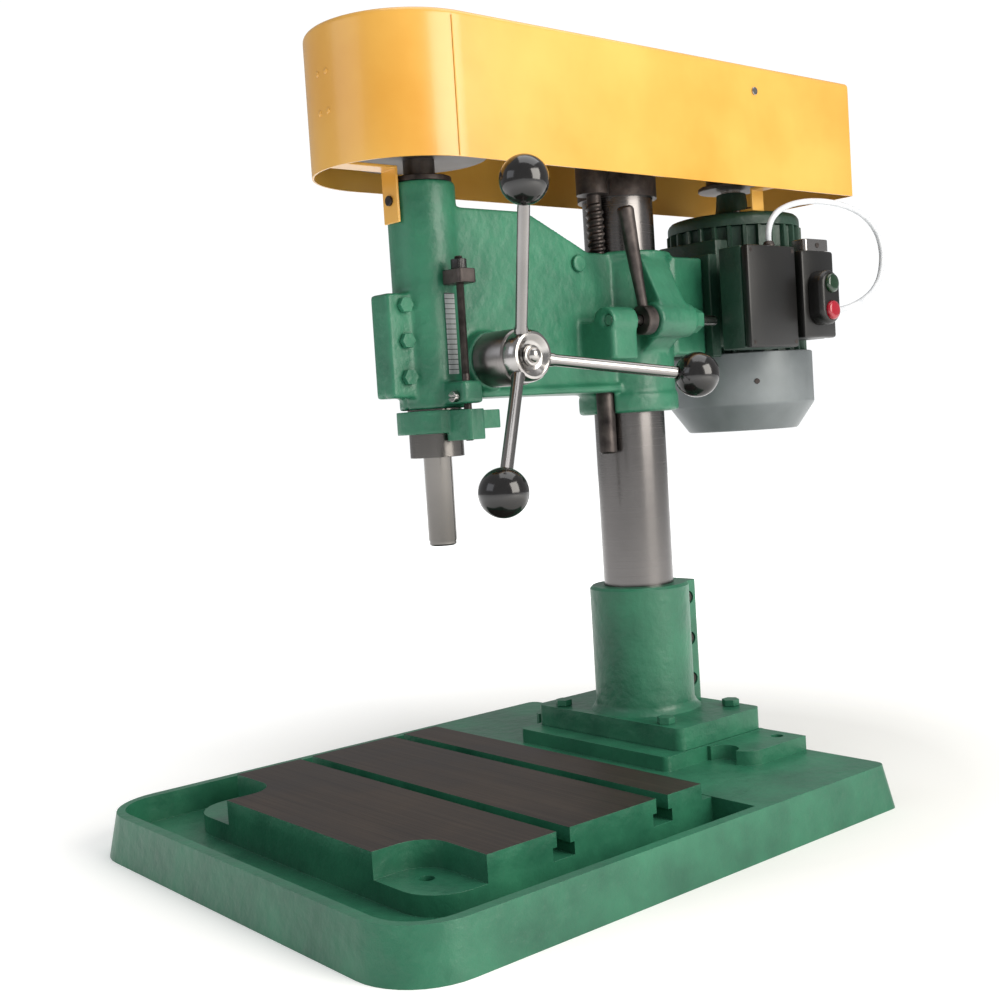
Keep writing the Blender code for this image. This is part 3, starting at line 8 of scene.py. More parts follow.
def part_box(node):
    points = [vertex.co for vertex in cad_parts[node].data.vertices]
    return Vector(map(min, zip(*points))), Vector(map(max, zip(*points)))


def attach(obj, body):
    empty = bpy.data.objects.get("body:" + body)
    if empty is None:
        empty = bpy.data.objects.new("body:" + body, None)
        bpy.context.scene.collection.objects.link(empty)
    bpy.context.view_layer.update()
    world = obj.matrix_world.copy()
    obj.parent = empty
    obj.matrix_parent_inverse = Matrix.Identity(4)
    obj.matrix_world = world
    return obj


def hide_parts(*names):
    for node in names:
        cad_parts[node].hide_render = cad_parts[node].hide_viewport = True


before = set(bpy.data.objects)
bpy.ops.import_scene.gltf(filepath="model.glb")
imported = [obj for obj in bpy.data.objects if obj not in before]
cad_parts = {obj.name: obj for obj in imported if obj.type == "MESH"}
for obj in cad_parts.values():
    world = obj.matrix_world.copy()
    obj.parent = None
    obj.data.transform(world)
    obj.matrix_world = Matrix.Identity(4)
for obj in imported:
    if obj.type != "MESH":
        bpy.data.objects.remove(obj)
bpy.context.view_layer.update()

# ---- room, light and camera ----
# The press stands on a pale paper floor that fades into a white background through a painted glow. A large
# soft light on the operator's right, with weaker ones in front and above, gives the enamel its broad
# highlights.
camera_data = bpy.data.cameras.new("camera")
camera_data.lens = 48.29
camera_data.sensor_width = 36.0
camera = bpy.data.objects.new("camera", camera_data)
bpy.context.scene.collection.objects.link(camera)
camera_right = Vector((0.64407, 0.76237, -0.06286))
camera_up = Vector((-0.00258, 0.08434, 0.99642))
camera_back = camera_right.cross(camera_up)
camera.matrix_world = Matrix.Translation((1.0857, -1.1126, 0.4233)) @ (
    Matrix((camera_right, camera_up, camera_back)).transposed().to_4x4()
)
bpy.context.scene.camera = camera


def linear(code):
    """An sRGB hex colour as the linear values that a shader takes."""
    channels = [int(code[i : i + 2], 16) / 255 for i in (0, 2, 4)]
    return [c / 12.92 if c <= 0.04045 else ((c + 0.055) / 1.055) ** 2.4 for c in channels] + [1.0]


def add(tree, kind, settings=None, **links):
    """Adds a node, sets its properties or inputs, and links sockets to its inputs."""
    node = tree.nodes.new(kind)
    for key, value in (settings or {}).items():
        if isinstance(key, str) and hasattr(node, key):
            setattr(node, key, value)
        else:
            node.inputs[key].default_value = value
    for key, socket in links.items():
        tree.links.new(socket, node.inputs[key.replace("_", " ")])
    return node


def finish_named(name, **shader_values):
    """A material with its Principled shader set, returned with its node tree and shader."""
    made = bpy.data.materials.new(name)
    made.use_nodes = True
    shader = made.node_tree.nodes["Principled BSDF"]
    for key, value in shader_values.items():
        shader.inputs[key.replace("_", " ")].default_value = value
    return made, made.node_tree, shader


def mottled(tree, shader, pattern, dark, light, ends=(0.0, 1.0), shine=None):
    """Tints a shader between two colours by a noise pattern, and its roughness over a range."""
    place = add(tree, "ShaderNodeTexCoord").outputs["Object"]
    cloud = add(tree, "ShaderNodeTexNoise", pattern, Vector=place).outputs["Fac"]
    tint = add(tree, "ShaderNodeValToRGB", Fac=cloud)
    for element, position, code in zip(tint.color_ramp.elements, ends, (dark, light)):
        element.position = position
        element.color = linear(code)
    tree.links.new(tint.outputs["Color"], shader.inputs["Base Color"])
    if shine:
        spread = add(tree, "ShaderNodeMapRange", {"To Min": shine[0], "To Max": shine[1]}, Value=cloud)
        tree.links.new(spread.outputs["Result"], shader.inputs["Roughness"])
    return place, cloud


def bumped(tree, height, strength, depth, under=None):
    """The normal of a surface bumped by a height pattern, over another bump if one is given."""
    bump = add(tree, "ShaderNodeBump", {"Strength": strength, "Distance": depth}, Height=height)
    if under:
        tree.links.new(under, bump.inputs["Normal"])
    return bump.outputs["Normal"]


def as_mesh(name, shape):
    """Turns a bmesh into a mesh and frees it."""
    mesh = bpy.data.meshes.new(name)
    shape.to_mesh(mesh)
    shape.free()
    return mesh


floor_paper, tree, shader = finish_named("floor_paper", Base_Color=linear("F4F4F2"), Roughness=0.9)
place = add(tree, "ShaderNodeTexCoord").outputs["Object"]
away = add(tree, "ShaderNodeVectorMath", {"operation": "LENGTH"})
tree.links.new(place, away.inputs[0])
# Painted glow: the floor emits white light, none near the press, rising to full strength 1.3 m out.
floor_glow = add(tree, "ShaderNodeMapRange", {"From Min": 0.35, "From Max": 1.3}, Value=away.outputs["Value"])
tree.links.new(floor_glow.outputs["Result"], shader.inputs["Emission Strength"])
shader.inputs["Emission Color"].default_value = linear("FFFFFF")
shape = bmesh.new()
bmesh.ops.create_grid(shape, x_segments=2, y_segments=2, size=6.0)
floor_mesh = as_mesh("studio_floor", shape)
floor_mesh.materials.append(floor_paper)
studio_floor = bpy.data.objects.new("studio_floor", floor_mesh)
bpy.context.scene.collection.objects.link(studio_floor)


def soft_light(name, place, size, watts, colour):
    """A soft rectangular light aimed at the middle of the press."""
    lamp = bpy.data.lights.new(name, "AREA")
    lamp.shape = "RECTANGLE"
    lamp.size, lamp.size_y = size
    lamp.energy = watts
    lamp.color = linear(colour)[:3]
    holder = bpy.data.objects.new(name, lamp)
    bpy.context.scene.collection.objects.link(holder)
    aim = press_middle - Vector(place)
    holder.matrix_world = Matrix.Translation(place) @ aim.to_track_quat("-Z", "Y").to_matrix().to_4x4()


press_middle = Vector((0.0, -0.12, 0.42))
soft_light("window_right", (2.3, 0.35, 1.25), (1.6, 1.8), 60.0, "FFFAF2")
soft_light("front_fill", (-0.6, -2.6, 1.5), (1.6, 1.2), 8.0, "F2F6FF")
soft_light("top_glow", (0.3, 0.2, 2.4), (1.8, 1.8), 20.0, "FFFFFF")
world = bpy.data.worlds.new("pale_room")
world.use_nodes = True
backdrop = world.node_tree.nodes["Background"]
backdrop.inputs["Color"].default_value = linear("F8F9FA")
seen = add(world.node_tree, "ShaderNodeLightPath")
strengths = {"To Min": 0.42, "To Max": 1.1}
room = add(world.node_tree, "ShaderNodeMapRange", strengths, Value=seen.outputs["Is Camera Ray"])
world.node_tree.links.new(room.outputs["Result"], backdrop.inputs["Strength"])
bpy.context.scene.world = world
bpy.context.scene.view_settings.view_transform = "Standard"

# ---- loop cable ----
# A pale PVC lead, 7 mm thick, that leaves the terminal box's top gland, loops out behind the motor
# and comes back into the gland on the switch box's rear face. It is stiff enough to hold its loop.
lead_x = 0.102
lead_radius = 0.0035
lead_route = [
    (0.140, 0.6143),
    (0.1405, 0.624),
    (0.146, 0.637),
    (0.160, 0.649),
    (0.184, 0.658),
    (0.214, 0.6635),
    (0.246, 0.6655),
    (0.280, 0.664),
    (0.312, 0.6585),
    (0.338, 0.648),
    (0.356, 0.632),
    (0.3639, 0.612),
    (0.3625, 0.592),
    (0.354, 0.573),
    (0.337, 0.558),
    (0.314, 0.547),
    (0.288, 0.5395),
    (0.262, 0.5355),
    (0.2383, 0.535),
]


def smooth_route(points, spacing):
    """Points along a Catmull-Rom curve through the route, about one spacing apart."""
    first = tuple(2 * a - b for a, b in zip(points[0], points[1]))
    last = tuple(2 * a - b for a, b in zip(points[-1], points[-2]))
    full = [first, *points, last]
    made = []
    for o, p, q, r in zip(full, full[1:], full[2:], full[3:]):
        count = max(1, round(math.dist(p, q) / spacing))
        for part in range(count):
            t = part / count
            spot = []
            for a, b, c, d in zip(o, p, q, r):
                bend = (2 * a - 5 * b + 4 * c - d) * t * t + (3 * b - a - 3 * c + d) * t**3
                spot.append(0.5 * (2 * b + (c - a) * t + bend))
            made.append(spot)
    return made + [list(points[-1])]


lead_curve = bpy.data.curves.new("loop_lead", "CURVE")
lead_curve.dimensions = "3D"
lead_curve.bevel_depth = lead_radius
lead_curve.bevel_resolution = 6
lead_curve.use_fill_caps = True
lead_points = smooth_route(lead_route, 0.004)
lead_line = lead_curve.splines.new("POLY")
lead_line.points.add(len(lead_points) - 1)
for spot, (y, z) in zip(lead_line.points, lead_points):
    spot.co = (lead_x, y, z, 1.0)
lead = bpy.data.objects.new("loop_lead", lead_curve)
bpy.context.scene.collection.objects.link(lead)
pale_pvc, tree, shader = finish_named("pale_pvc", Roughness=0.42, Specular_IOR_Level=0.5)
mottled(tree, shader, {"Scale": 60.0, "Detail": 3.0}, "A9ADB3", "D9DBDE")
lead_curve.materials.append(pale_pvc)
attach(lead, "head")
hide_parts("loop_cable")

# ---- base casting ----
# One grey-iron casting: a drafted pan with a coolant trough, a slotted table and the column's
# pedestal. It is sprayed in hammered green enamel, and only the table top is machined, now dark with oil.
casting_grain_mm = 1.6
casting_wave_mm = 14.0


def casting_enamel(name, dark, light, roughness):
    """Thick enamel over a sand casting, uneven in shade, with the sand's fine grain and slow waves."""
    made, tree, shader = finish_named(name, Metallic=0.0, Specular_IOR_Level=0.5)
    pattern = {"Scale": 16.0, "Detail": 4.0, "Roughness": 0.55}
    place, _ = mottled(tree, shader, pattern, dark, light, (0.22, 0.80), (roughness - 0.07, roughness + 0.12))
    grain = add(tree, "ShaderNodeTexNoise", {"Scale": 1000 / casting_grain_mm, "Detail": 2.0}, Vector=place)
    wave = add(tree, "ShaderNodeTexNoise", {"Scale": 1000 / casting_wave_mm, "Detail": 2.0}, Vector=place)
    fine = bumped(tree, grain.outputs["Fac"], 0.35, 0.0004)
    tree.links.new(bumped(tree, wave.outputs["Fac"], 0.55, 0.0022, fine), shader.inputs["Normal"])
    return made


green_enamel = casting_enamel("green_enamel", "1D5540", "347D5E", 0.36)

oiled_iron, tree, shader = finish_named("oiled_iron", Metallic=0.55, Roughness=0.5)
place = add(tree, "ShaderNodeTexCoord").outputs["Object"]
milling = add(tree, "ShaderNodeMapping", {"Scale": (3.0, 420.0, 3.0)}, Vector=place)
pattern = {"Scale": 1.0, "Detail": 4.0, "Roughness": 0.7}
marks = add(tree, "ShaderNodeTexNoise", pattern, Vector=milling.outputs["Vector"])
stain = add(tree, "ShaderNodeTexNoise", {"Scale": 9.0, "Detail": 6.0, "Roughness": 0.65}, Vector=place)
both = add(tree, "ShaderNodeMath", {"operation": "MULTIPLY"})
tree.links.new(marks.outputs["Fac"], both.inputs[0])
tree.links.new(stain.outputs["Fac"], both.inputs[1])
tint = add(tree, "ShaderNodeValToRGB", Fac=both.outputs["Value"])
tint.color_ramp.elements[0].position = 0.12
tint.color_ramp.elements[1].position = 0.45
tint.color_ramp.elements[0].color = linear("2A221F")
tint.color_ramp.elements[1].color = linear("54483F")
tree.links.new(tint.outputs["Color"], shader.inputs["Base Color"])
shine = add(tree, "ShaderNodeMapRange", {"To Min": 0.38, "To Max": 0.62}, Value=stain.outputs["Fac"])
tree.links.new(shine.outputs["Result"], shader.inputs["Roughness"])
tree.links.new(bumped(tree, marks.outputs["Fac"], 0.25, 0.0003), shader.inputs["Normal"])


def merged(node, flatten=True):
    """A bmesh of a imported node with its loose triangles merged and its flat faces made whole."""
    shape = bmesh.new()
    shape.from_mesh(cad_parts[node].data)
    bmesh.ops.remove_doubles(shape, verts=shape.verts, dist=0.00002)
    if flatten:
        flat = math.radians(0.6)
        bmesh.ops.dissolve_limit(shape, angle_limit=flat, verts=shape.verts, edges=shape.edges)
    return shape


def settle(name, shape, body, finish, *nodes, angle=32.0):
    """Makes the object, shades it smooth up to the angle, and sets its finish, body and nodes."""
    mesh = as_mesh(name, shape)
    mesh.shade_smooth()
    mesh.set_sharp_from_angle(angle=math.radians(angle))
    for material in finish if isinstance(finish, list) else [finish]:
        mesh.materials.append(material)
    made = bpy.data.objects.new(name, mesh)
    bpy.context.scene.collection.objects.link(made)
    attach(made, body)
    if nodes:
        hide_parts(*nodes)
    return made


def round_edges(made, width, segments=3, angle=32.0):
    """Breaks the sharp edges, as a foundry or a deburring wheel leaves them."""
    edge = made.modifiers.new("broken_edges", "BEVEL")
    edge.width = width
    edge.segments = segments
    edge.limit_method = "ANGLE"
    edge.angle_limit = math.radians(angle)
    edge.use_clamp_overlap = True
    edge.affect = "EDGES"
    edge.profile = 0.5
    flat = made.modifiers.new("flat_faces", "WEIGHTED_NORMAL")
    flat.keep_sharp = False
    return made


def packed(node, body, finish, edge, segments=3):
    """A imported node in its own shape, with its sharp edges broken."""
    return round_edges(settle(node + "_fine", merged(node), body, finish, node), edge, segments)


table_back = -0.145
_, base_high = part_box("base_casting")
shape = merged("base_casting")
for face in shape.faces:
    middle = face.calc_center_median()
    on_top = face.normal.z > 0.9 and middle.z > base_high.z - 0.0002
    face.material_index = 1 if on_top and middle.y < table_back else 0
base = settle("base_casting_fine", shape, "frame", [green_enamel, oiled_iron], "base_casting")
round_edges(base, 0.0022)

# ---- column foot and its bolts ----
# A second green casting: a flange on the pedestal, and a split socket that three cap screws close on
# the column. Four hexagon bolts, painted over with it, hold the flange down.
foot = packed("column_foot", "frame", green_enamel, 0.0018)


def oily_steel(name, dark, light, roughness):
    """Plain turned steel gone dark with oil, with fine turning marks and a patchy film."""
    made, tree, shader = finish_named(name, Metallic=0.85)
    pattern = {"Scale": 45.0, "Detail": 5.0, "Roughness": 0.6}
    place, _ = mottled(tree, shader, pattern, dark, light, (0.3, 0.7), (roughness - 0.08, roughness + 0.12))
    turning = add(tree, "ShaderNodeTexNoise", {"Scale": 900.0, "Detail": 1.0}, Vector=place)
    tree.links.new(bumped(tree, turning.outputs["Fac"], 0.15, 0.0002), shader.inputs["Normal"])
    return made


dark_steel = oily_steel("dark_steel", "2C2828", "5C5552", 0.42)
for corner in ("front_left", "front_right", "back_left", "back_right"):
    node = "foot_bolt_" + corner
    bolt = packed(node, "frame", green_enamel, 0.0009)
for row in (1, 2, 3):
    node = "foot_clamp_screw_%d" % row
    screw = packed(node, "frame", dark_steel, 0.0006)


# ---- column ----
# A thick seamless steel tube, 80 mm across, ground and polished so that the head slides on it. It
# stands bare, with a mirror-like skin that shows fine rings from the grinding wheel.
def lathed(profile, centre, axis=(0, 0, 1), steps=64):
    """A bmesh of (radius, height) pairs, top to bottom down the outer side, spun about an axis."""
    shape = bmesh.new()
    ring = [shape.verts.new((r, 0.0, h)) for r, h in profile]
    line = [shape.edges.new(pair) for pair in zip(ring, ring[1:])]
    if profile[0][0] > 1e-6 and profile[-1][0] > 1e-6:
        line.append(shape.edges.new((ring[-1], ring[0])))
    bmesh.ops.spin(
        shape, geom=ring + line, cent=(0, 0, 0), axis=(0, 0, 1), angle=math.tau, steps=steps, use_merge=True
    )
    bmesh.ops.remove_doubles(shape, verts=shape.verts, dist=0.000005)
    bmesh.ops.recalc_face_normals(shape, faces=shape.faces)
    turn = Vector((0, 0, 1)).rotation_difference(Vector(axis)).to_matrix().to_4x4()
    bmesh.ops.transform(shape, matrix=Matrix.Translation(Vector(centre)) @ turn, verts=shape.verts)
    return shape


def polished_steel(name, base_colour, roughness, stretch, streak_mm=0.8):
    """Ground steel: bright and smooth, with grinding lines that run across the stretch."""
    made, tree, shader = finish_named(name, Metallic=1.0)
    place = add(tree, "ShaderNodeTexCoord").outputs["Object"]
    scales = [1000 / streak_mm if share else 6.0 for share in stretch]
    lines = add(tree, "ShaderNodeMapping", {"Scale": scales}, Vector=place)
    marks = add(tree, "ShaderNodeTexNoise", {"Scale": 1.0, "Detail": 3.0}, Vector=lines.outputs["Vector"])
    haze = add(tree, "ShaderNodeTexNoise", {"Scale": 14.0, "Detail": 4.0}, Vector=place)
    tint = add(tree, "ShaderNodeValToRGB", Fac=haze.outputs["Fac"])
    tint.color_ramp.elements[0].position = 0.25
    tint.color_ramp.elements[0].color = [c * 0.72 for c in linear(base_colour)[:3]] + [1.0]
    tint.color_ramp.elements[1].color = linear(base_colour)
    tree.links.new(tint.outputs["Color"], shader.inputs["Base Color"])
    shine = add(tree, "ShaderNodeMapRange", {"To Min": roughness * 0.75, "To Max": roughness * 1.35})
    tree.links.new(marks.outputs["Fac"], shine.inputs["Value"])
    tree.links.new(shine.outputs["Result"], shader.inputs["Roughness"])
    tree.links.new(bumped(tree, marks.outputs["Fac"], 0.10, 0.0001), shader.inputs["Normal"])
    return made


column_steel = polished_steel("column_steel", "787574", 0.24, (0, 0, 1))
low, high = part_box("column")
radius = (high.x - low.x) / 2
bore = 0.028
profile = [(bore, high.z), (radius - 0.0015, high.z), (radius, high.z - 0.0015)]
profile += [(radius, low.z), (bore, low.z)]
column = settle("column_fine", lathed(profile, (0, 0, 0), steps=96), "frame", column_steel, "column")

# ---- column cap and height screw ----
# A dark steel cap closes the column and carries the journal of the screw beside it. Turning the
# screw, a coarse 8 mm pitch thread in the head casting, lifts or lowers the whole head.
cap = packed("column_cap", "frame", dark_steel, 0.0016)

low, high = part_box("lift_screw")
screw_middle = ((low.x + high.x) / 2, (low.y + high.y) / 2)
crest = (high.x - low.x) / 2
root = crest - 0.0021
pitch = 0.008
thread_low, thread_high = 0.462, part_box("column_cap")[0].z - 0.003
shape = bmesh.new()
section = [(root, 0.0), (crest, pitch * 0.30), (crest, pitch * 0.52), (root, pitch * 0.82), (root, pitch)]
ring = [shape.verts.new((r, 0.0, thread_low + h - pitch)) for r, h in section]
line = [shape.edges.new(pair) for pair in zip(ring, ring[1:])]
turns = int((thread_high - thread_low) / pitch)
bmesh.ops.spin(
    shape,
    geom=ring + line,
    cent=(0, 0, 0),
    axis=(0, 0, 1),
    dvec=(0, 0, pitch / 24),
    angle=math.tau * turns,
    steps=24 * turns,
)
bmesh.ops.remove_doubles(shape, verts=shape.verts, dist=0.00002)
bmesh.ops.recalc_face_normals(shape, faces=shape.faces)
bmesh.ops.translate(shape, vec=(*screw_middle, 0), verts=shape.verts)
core = [
    (0.0, high.z),
    (0.0050, high.z),
    (0.0060, high.z - 0.001),
    (0.0060, thread_high + 0.004),
    (root + 0.0001, thread_high + 0.0035),
    (root + 0.0001, thread_low),
    (crest, thread_low - 0.004),
    (crest, low.z + 0.002),
    (crest - 0.002, low.z),
    (0.0, low.z),
]
shape.from_mesh(as_mesh("screw_core", lathed(core, (*screw_middle, 0), steps=32)))
height_screw = settle("height_screw_fine", shape, "height_screw", dark_steel, "lift_screw")
shape = merged("lift_screw_nut")
screw_nut = settle("height_screw_nut_fine", shape, "height_screw", dark_steel, "lift_screw_nut")
round_edges(screw_nut, 0.0006)

# ---- head casting ----
# The largest green casting: spindle housing, webbed arm and column sleeve poured in one piece. Sand
# moulding rounds every corner and fillets every joint between its bosses, lugs and ribs.

def sand_cast(name, shape, voxel, passes, keep):
    """Remeshes the joined shapes into one skin, lets its corners flow and keeps a share of its faces."""
    pattern = bpy.data.objects.new(name + "_pattern", as_mesh(name + "_pattern", shape))
    bpy.context.scene.collection.objects.link(pattern)
    skin = pattern.modifiers.new("skin", "REMESH")
    skin.mode = "VOXEL"
    skin.voxel_size = voxel
    flow = pattern.modifiers.new("flow", "SMOOTH")
    flow.factor = 0.5
    flow.iterations = passes
    thin = pattern.modifiers.new("thin", "DECIMATE")
    thin.ratio = keep
    graph = bpy.context.evaluated_depsgraph_get()
    made = bmesh.new()
    made.from_mesh(bpy.data.meshes.new_from_object(pattern.evaluated_get(graph)))
    bpy.data.objects.remove(pattern)
    return made


def join_box(shape, x, y, z, edge=0.0):
    """Adds a box over three ranges, its corners cut back by edge, to a casting's pattern."""
    made = bmesh.ops.create_cube(shape, size=1.0)["verts"]
    size = Vector((x[1] - x[0], y[1] - y[0], z[1] - z[0]))
    bmesh.ops.scale(shape, vec=size, verts=made)
    bmesh.ops.translate(shape, vec=(sum(x) / 2, sum(y) / 2, sum(z) / 2), verts=made)
    if edge:
        around = list({e for v in made for e in v.link_edges})
        bmesh.ops.bevel(shape, geom=around, offset=edge, segments=2, profile=0.5, affect="EDGES", material=-1)


cast_voxel, cast_passes, cast_keep = 0.0021, 7, 0.55
shape = sand_cast("head", merged("head_casting", flatten=False), cast_voxel, cast_passes, cast_keep)
head = settle("head_casting_fine", shape, "head", green_enamel, "head_casting", angle=60)

for row in (1, 2, 3):
    node = "housing_clamp_bolt_%d" % row
    bolt = packed(node, "head", green_enamel, 0.0009)
plug = packed("oil_plug", "head", green_enamel, 0.0008)

# ---- spindle bearing ring ----
# A turned steel ring pressed into the top of the housing, round the pulley's sleeve.
ring_piece = packed("housing_bearing", "head", dark_steel, 0.0008)

# ---- quill, spindle and depth collar ----
# The quill is a ground steel sleeve with a rack cut down its back; the spindle turns in it and ends
# in a taper socket for the chuck. The green collar clamps on the quill and carries the depth rod.
quill_steel = polished_steel("quill_steel", "7A7774", 0.22, (0, 0, 1), 0.6)
quill = packed("quill", "quill_group", quill_steel, 0.0005)

low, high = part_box("spindle")
spindle_y = (low.y + high.y) / 2
nose = 0.0145
mouth = 0.0089
socket = 0.064
spline = 0.009
shape = lathed(
    [
        (0.0, high.z),
        (spline - 0.001, high.z),
        (spline, high.z - 0.001),
        (spline, 0.611),
        (nose, 0.608),
        (nose, low.z + 0.006),
        (nose - 0.0007, low.z + 0.0045),
        (nose - 0.0007, low.z + 0.0015),
        (nose - 0.0022, low.z),
        (mouth + 0.0008, low.z),
        (mouth, low.z + 0.0008),
        (mouth - socket / 40, low.z + socket),
        (0.0, low.z + socket + 0.002),
    ],
    (0, spindle_y, 0),
    steps=64,
)
spindle = settle("spindle_fine", shape, "drill_spindle", quill_steel, "spindle")

collar_voxel, collar_passes, collar_keep = 0.0010, 4, 0.6
shape = sand_cast("collar", merged("depth_collar", flatten=False), collar_voxel, collar_passes, collar_keep)
collar = settle("depth_collar_fine", shape, "quill_group", green_enamel, "depth_collar", angle=60)

# ---- depth gauge ----
# A dark steel rod rises from the collar through a lug on the housing. A pointer plate under a knurled
# nut rides near its top, and the plate meets the lug when the hole is deep enough.
low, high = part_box("depth_rod")
rod_x, rod_y = (low.x + high.x) / 2, (low.y + high.y) / 2
rod_radius = (high.x - low.x) / 2
fine_pitch = 0.0011
profile = [(0.0, high.z), (rod_radius - 0.0008, high.z), (rod_radius, high.z - 0.0008)]
thread_end = 0.475
for groove in range(int((high.z - thread_end) / fine_pitch)):
    top = high.z - 0.001 - groove * fine_pitch
    profile += [(rod_radius, top), (rod_radius - 0.00045, top - fine_pitch / 2)]
profile += [(rod_radius, thread_end - 0.001), (rod_radius, low.z + 0.0008)]
profile += [(rod_radius - 0.0008, low.z), (0.0, low.z)]
shape = lathed(profile, (rod_x, rod_y, 0), steps=20)
depth_rod = settle("depth_rod_fine", shape, "quill_group", dark_steel, "depth_rod")
pointer = packed("depth_pointer", "quill_group", dark_steel, 0.0010)

gloss_black, tree, shader = finish_named("gloss_black_phenolic", Specular_IOR_Level=0.55, IOR=1.55)
mottled(tree, shader, {"Scale": 70.0, "Detail": 5.0}, "0B0A0A", "1C1A1A", shine=(0.07, 0.20))

low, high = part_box("depth_nut")
nut_radius = (high.y - low.y) / 2 - 0.0002
knurls, knurl_depth = 32, 0.0006
shape = bmesh.new()
bmesh.ops.create_circle(shape, cap_ends=True, segments=knurls * 2, radius=nut_radius)
for index, vert in enumerate(sorted(shape.verts, key=lambda v: math.atan2(v.co.y, v.co.x))):
    if index % 2:
        vert.co *= 1 - knurl_depth / nut_radius
    vert.co.z = low.z
walls = bmesh.ops.extrude_face_region(shape, geom=list(shape.faces))["geom"]
upper = [v for v in walls if isinstance(v, bmesh.types.BMVert)]
bmesh.ops.translate(shape, vec=(0, 0, high.z - low.z), verts=upper)
bmesh.ops.translate(shape, vec=(rod_x, rod_y, 0), verts=shape.verts)
bmesh.ops.recalc_face_normals(shape, faces=shape.faces)
depth_nut = settle("depth_nut_fine", shape, "quill_group", gloss_black, "depth_nut", angle=50)
round_edges(depth_nut, 0.0007, 2, angle=60)

low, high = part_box("depth_scale")
scale_paint, tree, shader = finish_named("scale_paint", Roughness=0.45)
place = add(tree, "ShaderNodeTexCoord").outputs["Object"]
height = add(tree, "ShaderNodeSeparateXYZ", Vector=place).outputs["Z"]
tick_pitch, tick_height = 0.005, 0.0008
tick = add(tree, "ShaderNodeMath", {"operation": "WRAP", 1: tick_pitch, 2: 0.0})
tree.links.new(height, tick.inputs[0])
line_here = add(tree, "ShaderNodeMath", {"operation": "LESS_THAN", 1: tick_height})
tree.links.new(tick.outputs["Value"], line_here.inputs[0])
mark = add(tree, "ShaderNodeMix", {"data_type": "RGBA", 6: linear("8A9090"), 7: linear("1E2222")})
tree.links.new(line_here.outputs["Value"], mark.inputs["Factor"])
tree.links.new(mark.outputs[2], shader.inputs["Base Color"])
scale_strip = packed("depth_scale", "head", scale_paint, 0.0003, 2)

bright_steel = polished_steel("bright_steel", "B4B1AF", 0.18, (1, 0, 0), 0.5)
lug_screw = packed("guide_lug_screw", "head", bright_steel, 0.0006)

# ---- capstan hub and its three handles ----
# The feed pinion's shaft ends in a turned steel hub, with a bright dished face and a domed nut. Three
# straight steel rods screw into it and carry black phenolic ball knobs.
low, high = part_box("capstan_hub")
feed_y, feed_z = (low.y + high.y) / 2, (low.z + high.z) / 2
hub_radius = (high.y - low.y) / 2
face_x = high.x
profile = [
    (0.0, face_x - 0.0042),
    (0.0135, face_x - 0.0046),
    (0.0155, face_x - 0.0036),
    (0.0185, face_x - 0.0012),
    (0.0208, face_x - 0.0001),
    (0.0232, face_x - 0.0005),
    (0.0250, face_x - 0.0030),
    (0.0262, face_x - 0.0080),
    (0.0264, face_x - 0.0150),
    (0.0255, face_x - 0.0160),
    (0.0255, face_x - 0.0170),
    (hub_radius - 0.0006, face_x - 0.0180),
    (hub_radius, face_x - 0.0190),
    (hub_radius, low.x + 0.002),
    (hub_radius - 0.002, low.x),
    (0.0, low.x),
]
shape = lathed(profile, (0, feed_y, feed_z), (1, 0, 0), 96)
for face in shape.faces:
    face.material_index = 0 if face.calc_center_median().x > face_x - 0.0155 else 1
hub_steel = polished_steel("hub_steel", "8E8A88", 0.30, (1, 0, 0), 0.7)
hub = settle("capstan_hub_fine", shape, "capstan", [bright_steel, hub_steel], "capstan_hub")

low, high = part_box("hub_nut")
profile = [
    (0.0, high.x),
    (0.0030, high.x - 0.0003),
    (0.0055, high.x - 0.0015),
    (0.0072, high.x - 0.0034),
    (0.0078, high.x - 0.0052),
    (0.0078, low.x + 0.0032),
    (0.0098, low.x + 0.0028),
    (0.0104, low.x + 0.0020),
    (0.0104, low.x),
    (0.0, low.x),
]
shape = lathed(profile, (0, feed_y, feed_z), (1, 0, 0), 64)
hub_nut = settle("hub_nut_fine", shape, "capstan", bright_steel, "hub_nut")

rod_radius = 0.006
knob_radius = 0.023
rods_meet_x = 0.0883
hub_centre = Vector((rods_meet_x, feed_y, feed_z))
rod_steel = polished_steel("rod_steel", "9A9796", 0.20, (0, 0, 1), 0.9)
for name in ("up", "back", "down"):
    low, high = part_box("handle_knob_" + name)
    knob_at = (low + high) / 2
    aim = (knob_at - hub_centre).normalized()
    reach = (knob_at - hub_centre).length
    profile = [
        (0.0, reach + 0.005),
        (rod_radius - 0.0006, reach + 0.005),
        (rod_radius - 0.0006, reach - knob_radius + 0.003),
        (rod_radius, reach - knob_radius - 0.004),
        (rod_radius, 0.035),
        (rod_radius + 0.0010, 0.032),
        (rod_radius + 0.0010, 0.0250),
        (rod_radius - 0.0002, 0.0235),
        (rod_radius - 0.0002, 0.0155),
        (0.0, 0.0155),
    ]
    shape = lathed(profile, hub_centre, aim, 40)
    handle = settle("handle_rod_%s_fine" % name, shape, "capstan", rod_steel, "handle_rod_" + name)
    flat = rod_radius + 0.0042
    start = math.asin(flat / knob_radius)
    arc = [start + (math.pi - start) * step / 28 for step in range(29)]
    profile = [(knob_radius * math.sin(a), -knob_radius * math.cos(a)) for a in reversed(arc)]
    profile[0] = (0.0, knob_radius)
    rim_height = profile[-1][1]
    profile += [(rod_radius + 0.0009, rim_height - 0.0006), (rod_radius + 0.0004, rim_height + 0.0004)]
    profile += [(rod_radius + 0.0004, 0.0062), (0.0, 0.0062)]
    shape = lathed(profile, knob_at, aim, 64)
    node = "handle_knob_" + name
    knob = settle(node + "_fine", shape, "capstan", gloss_black, node, angle=40)

pinion = packed("feed_pinion", "capstan", hub_steel, 0.0004, 2)

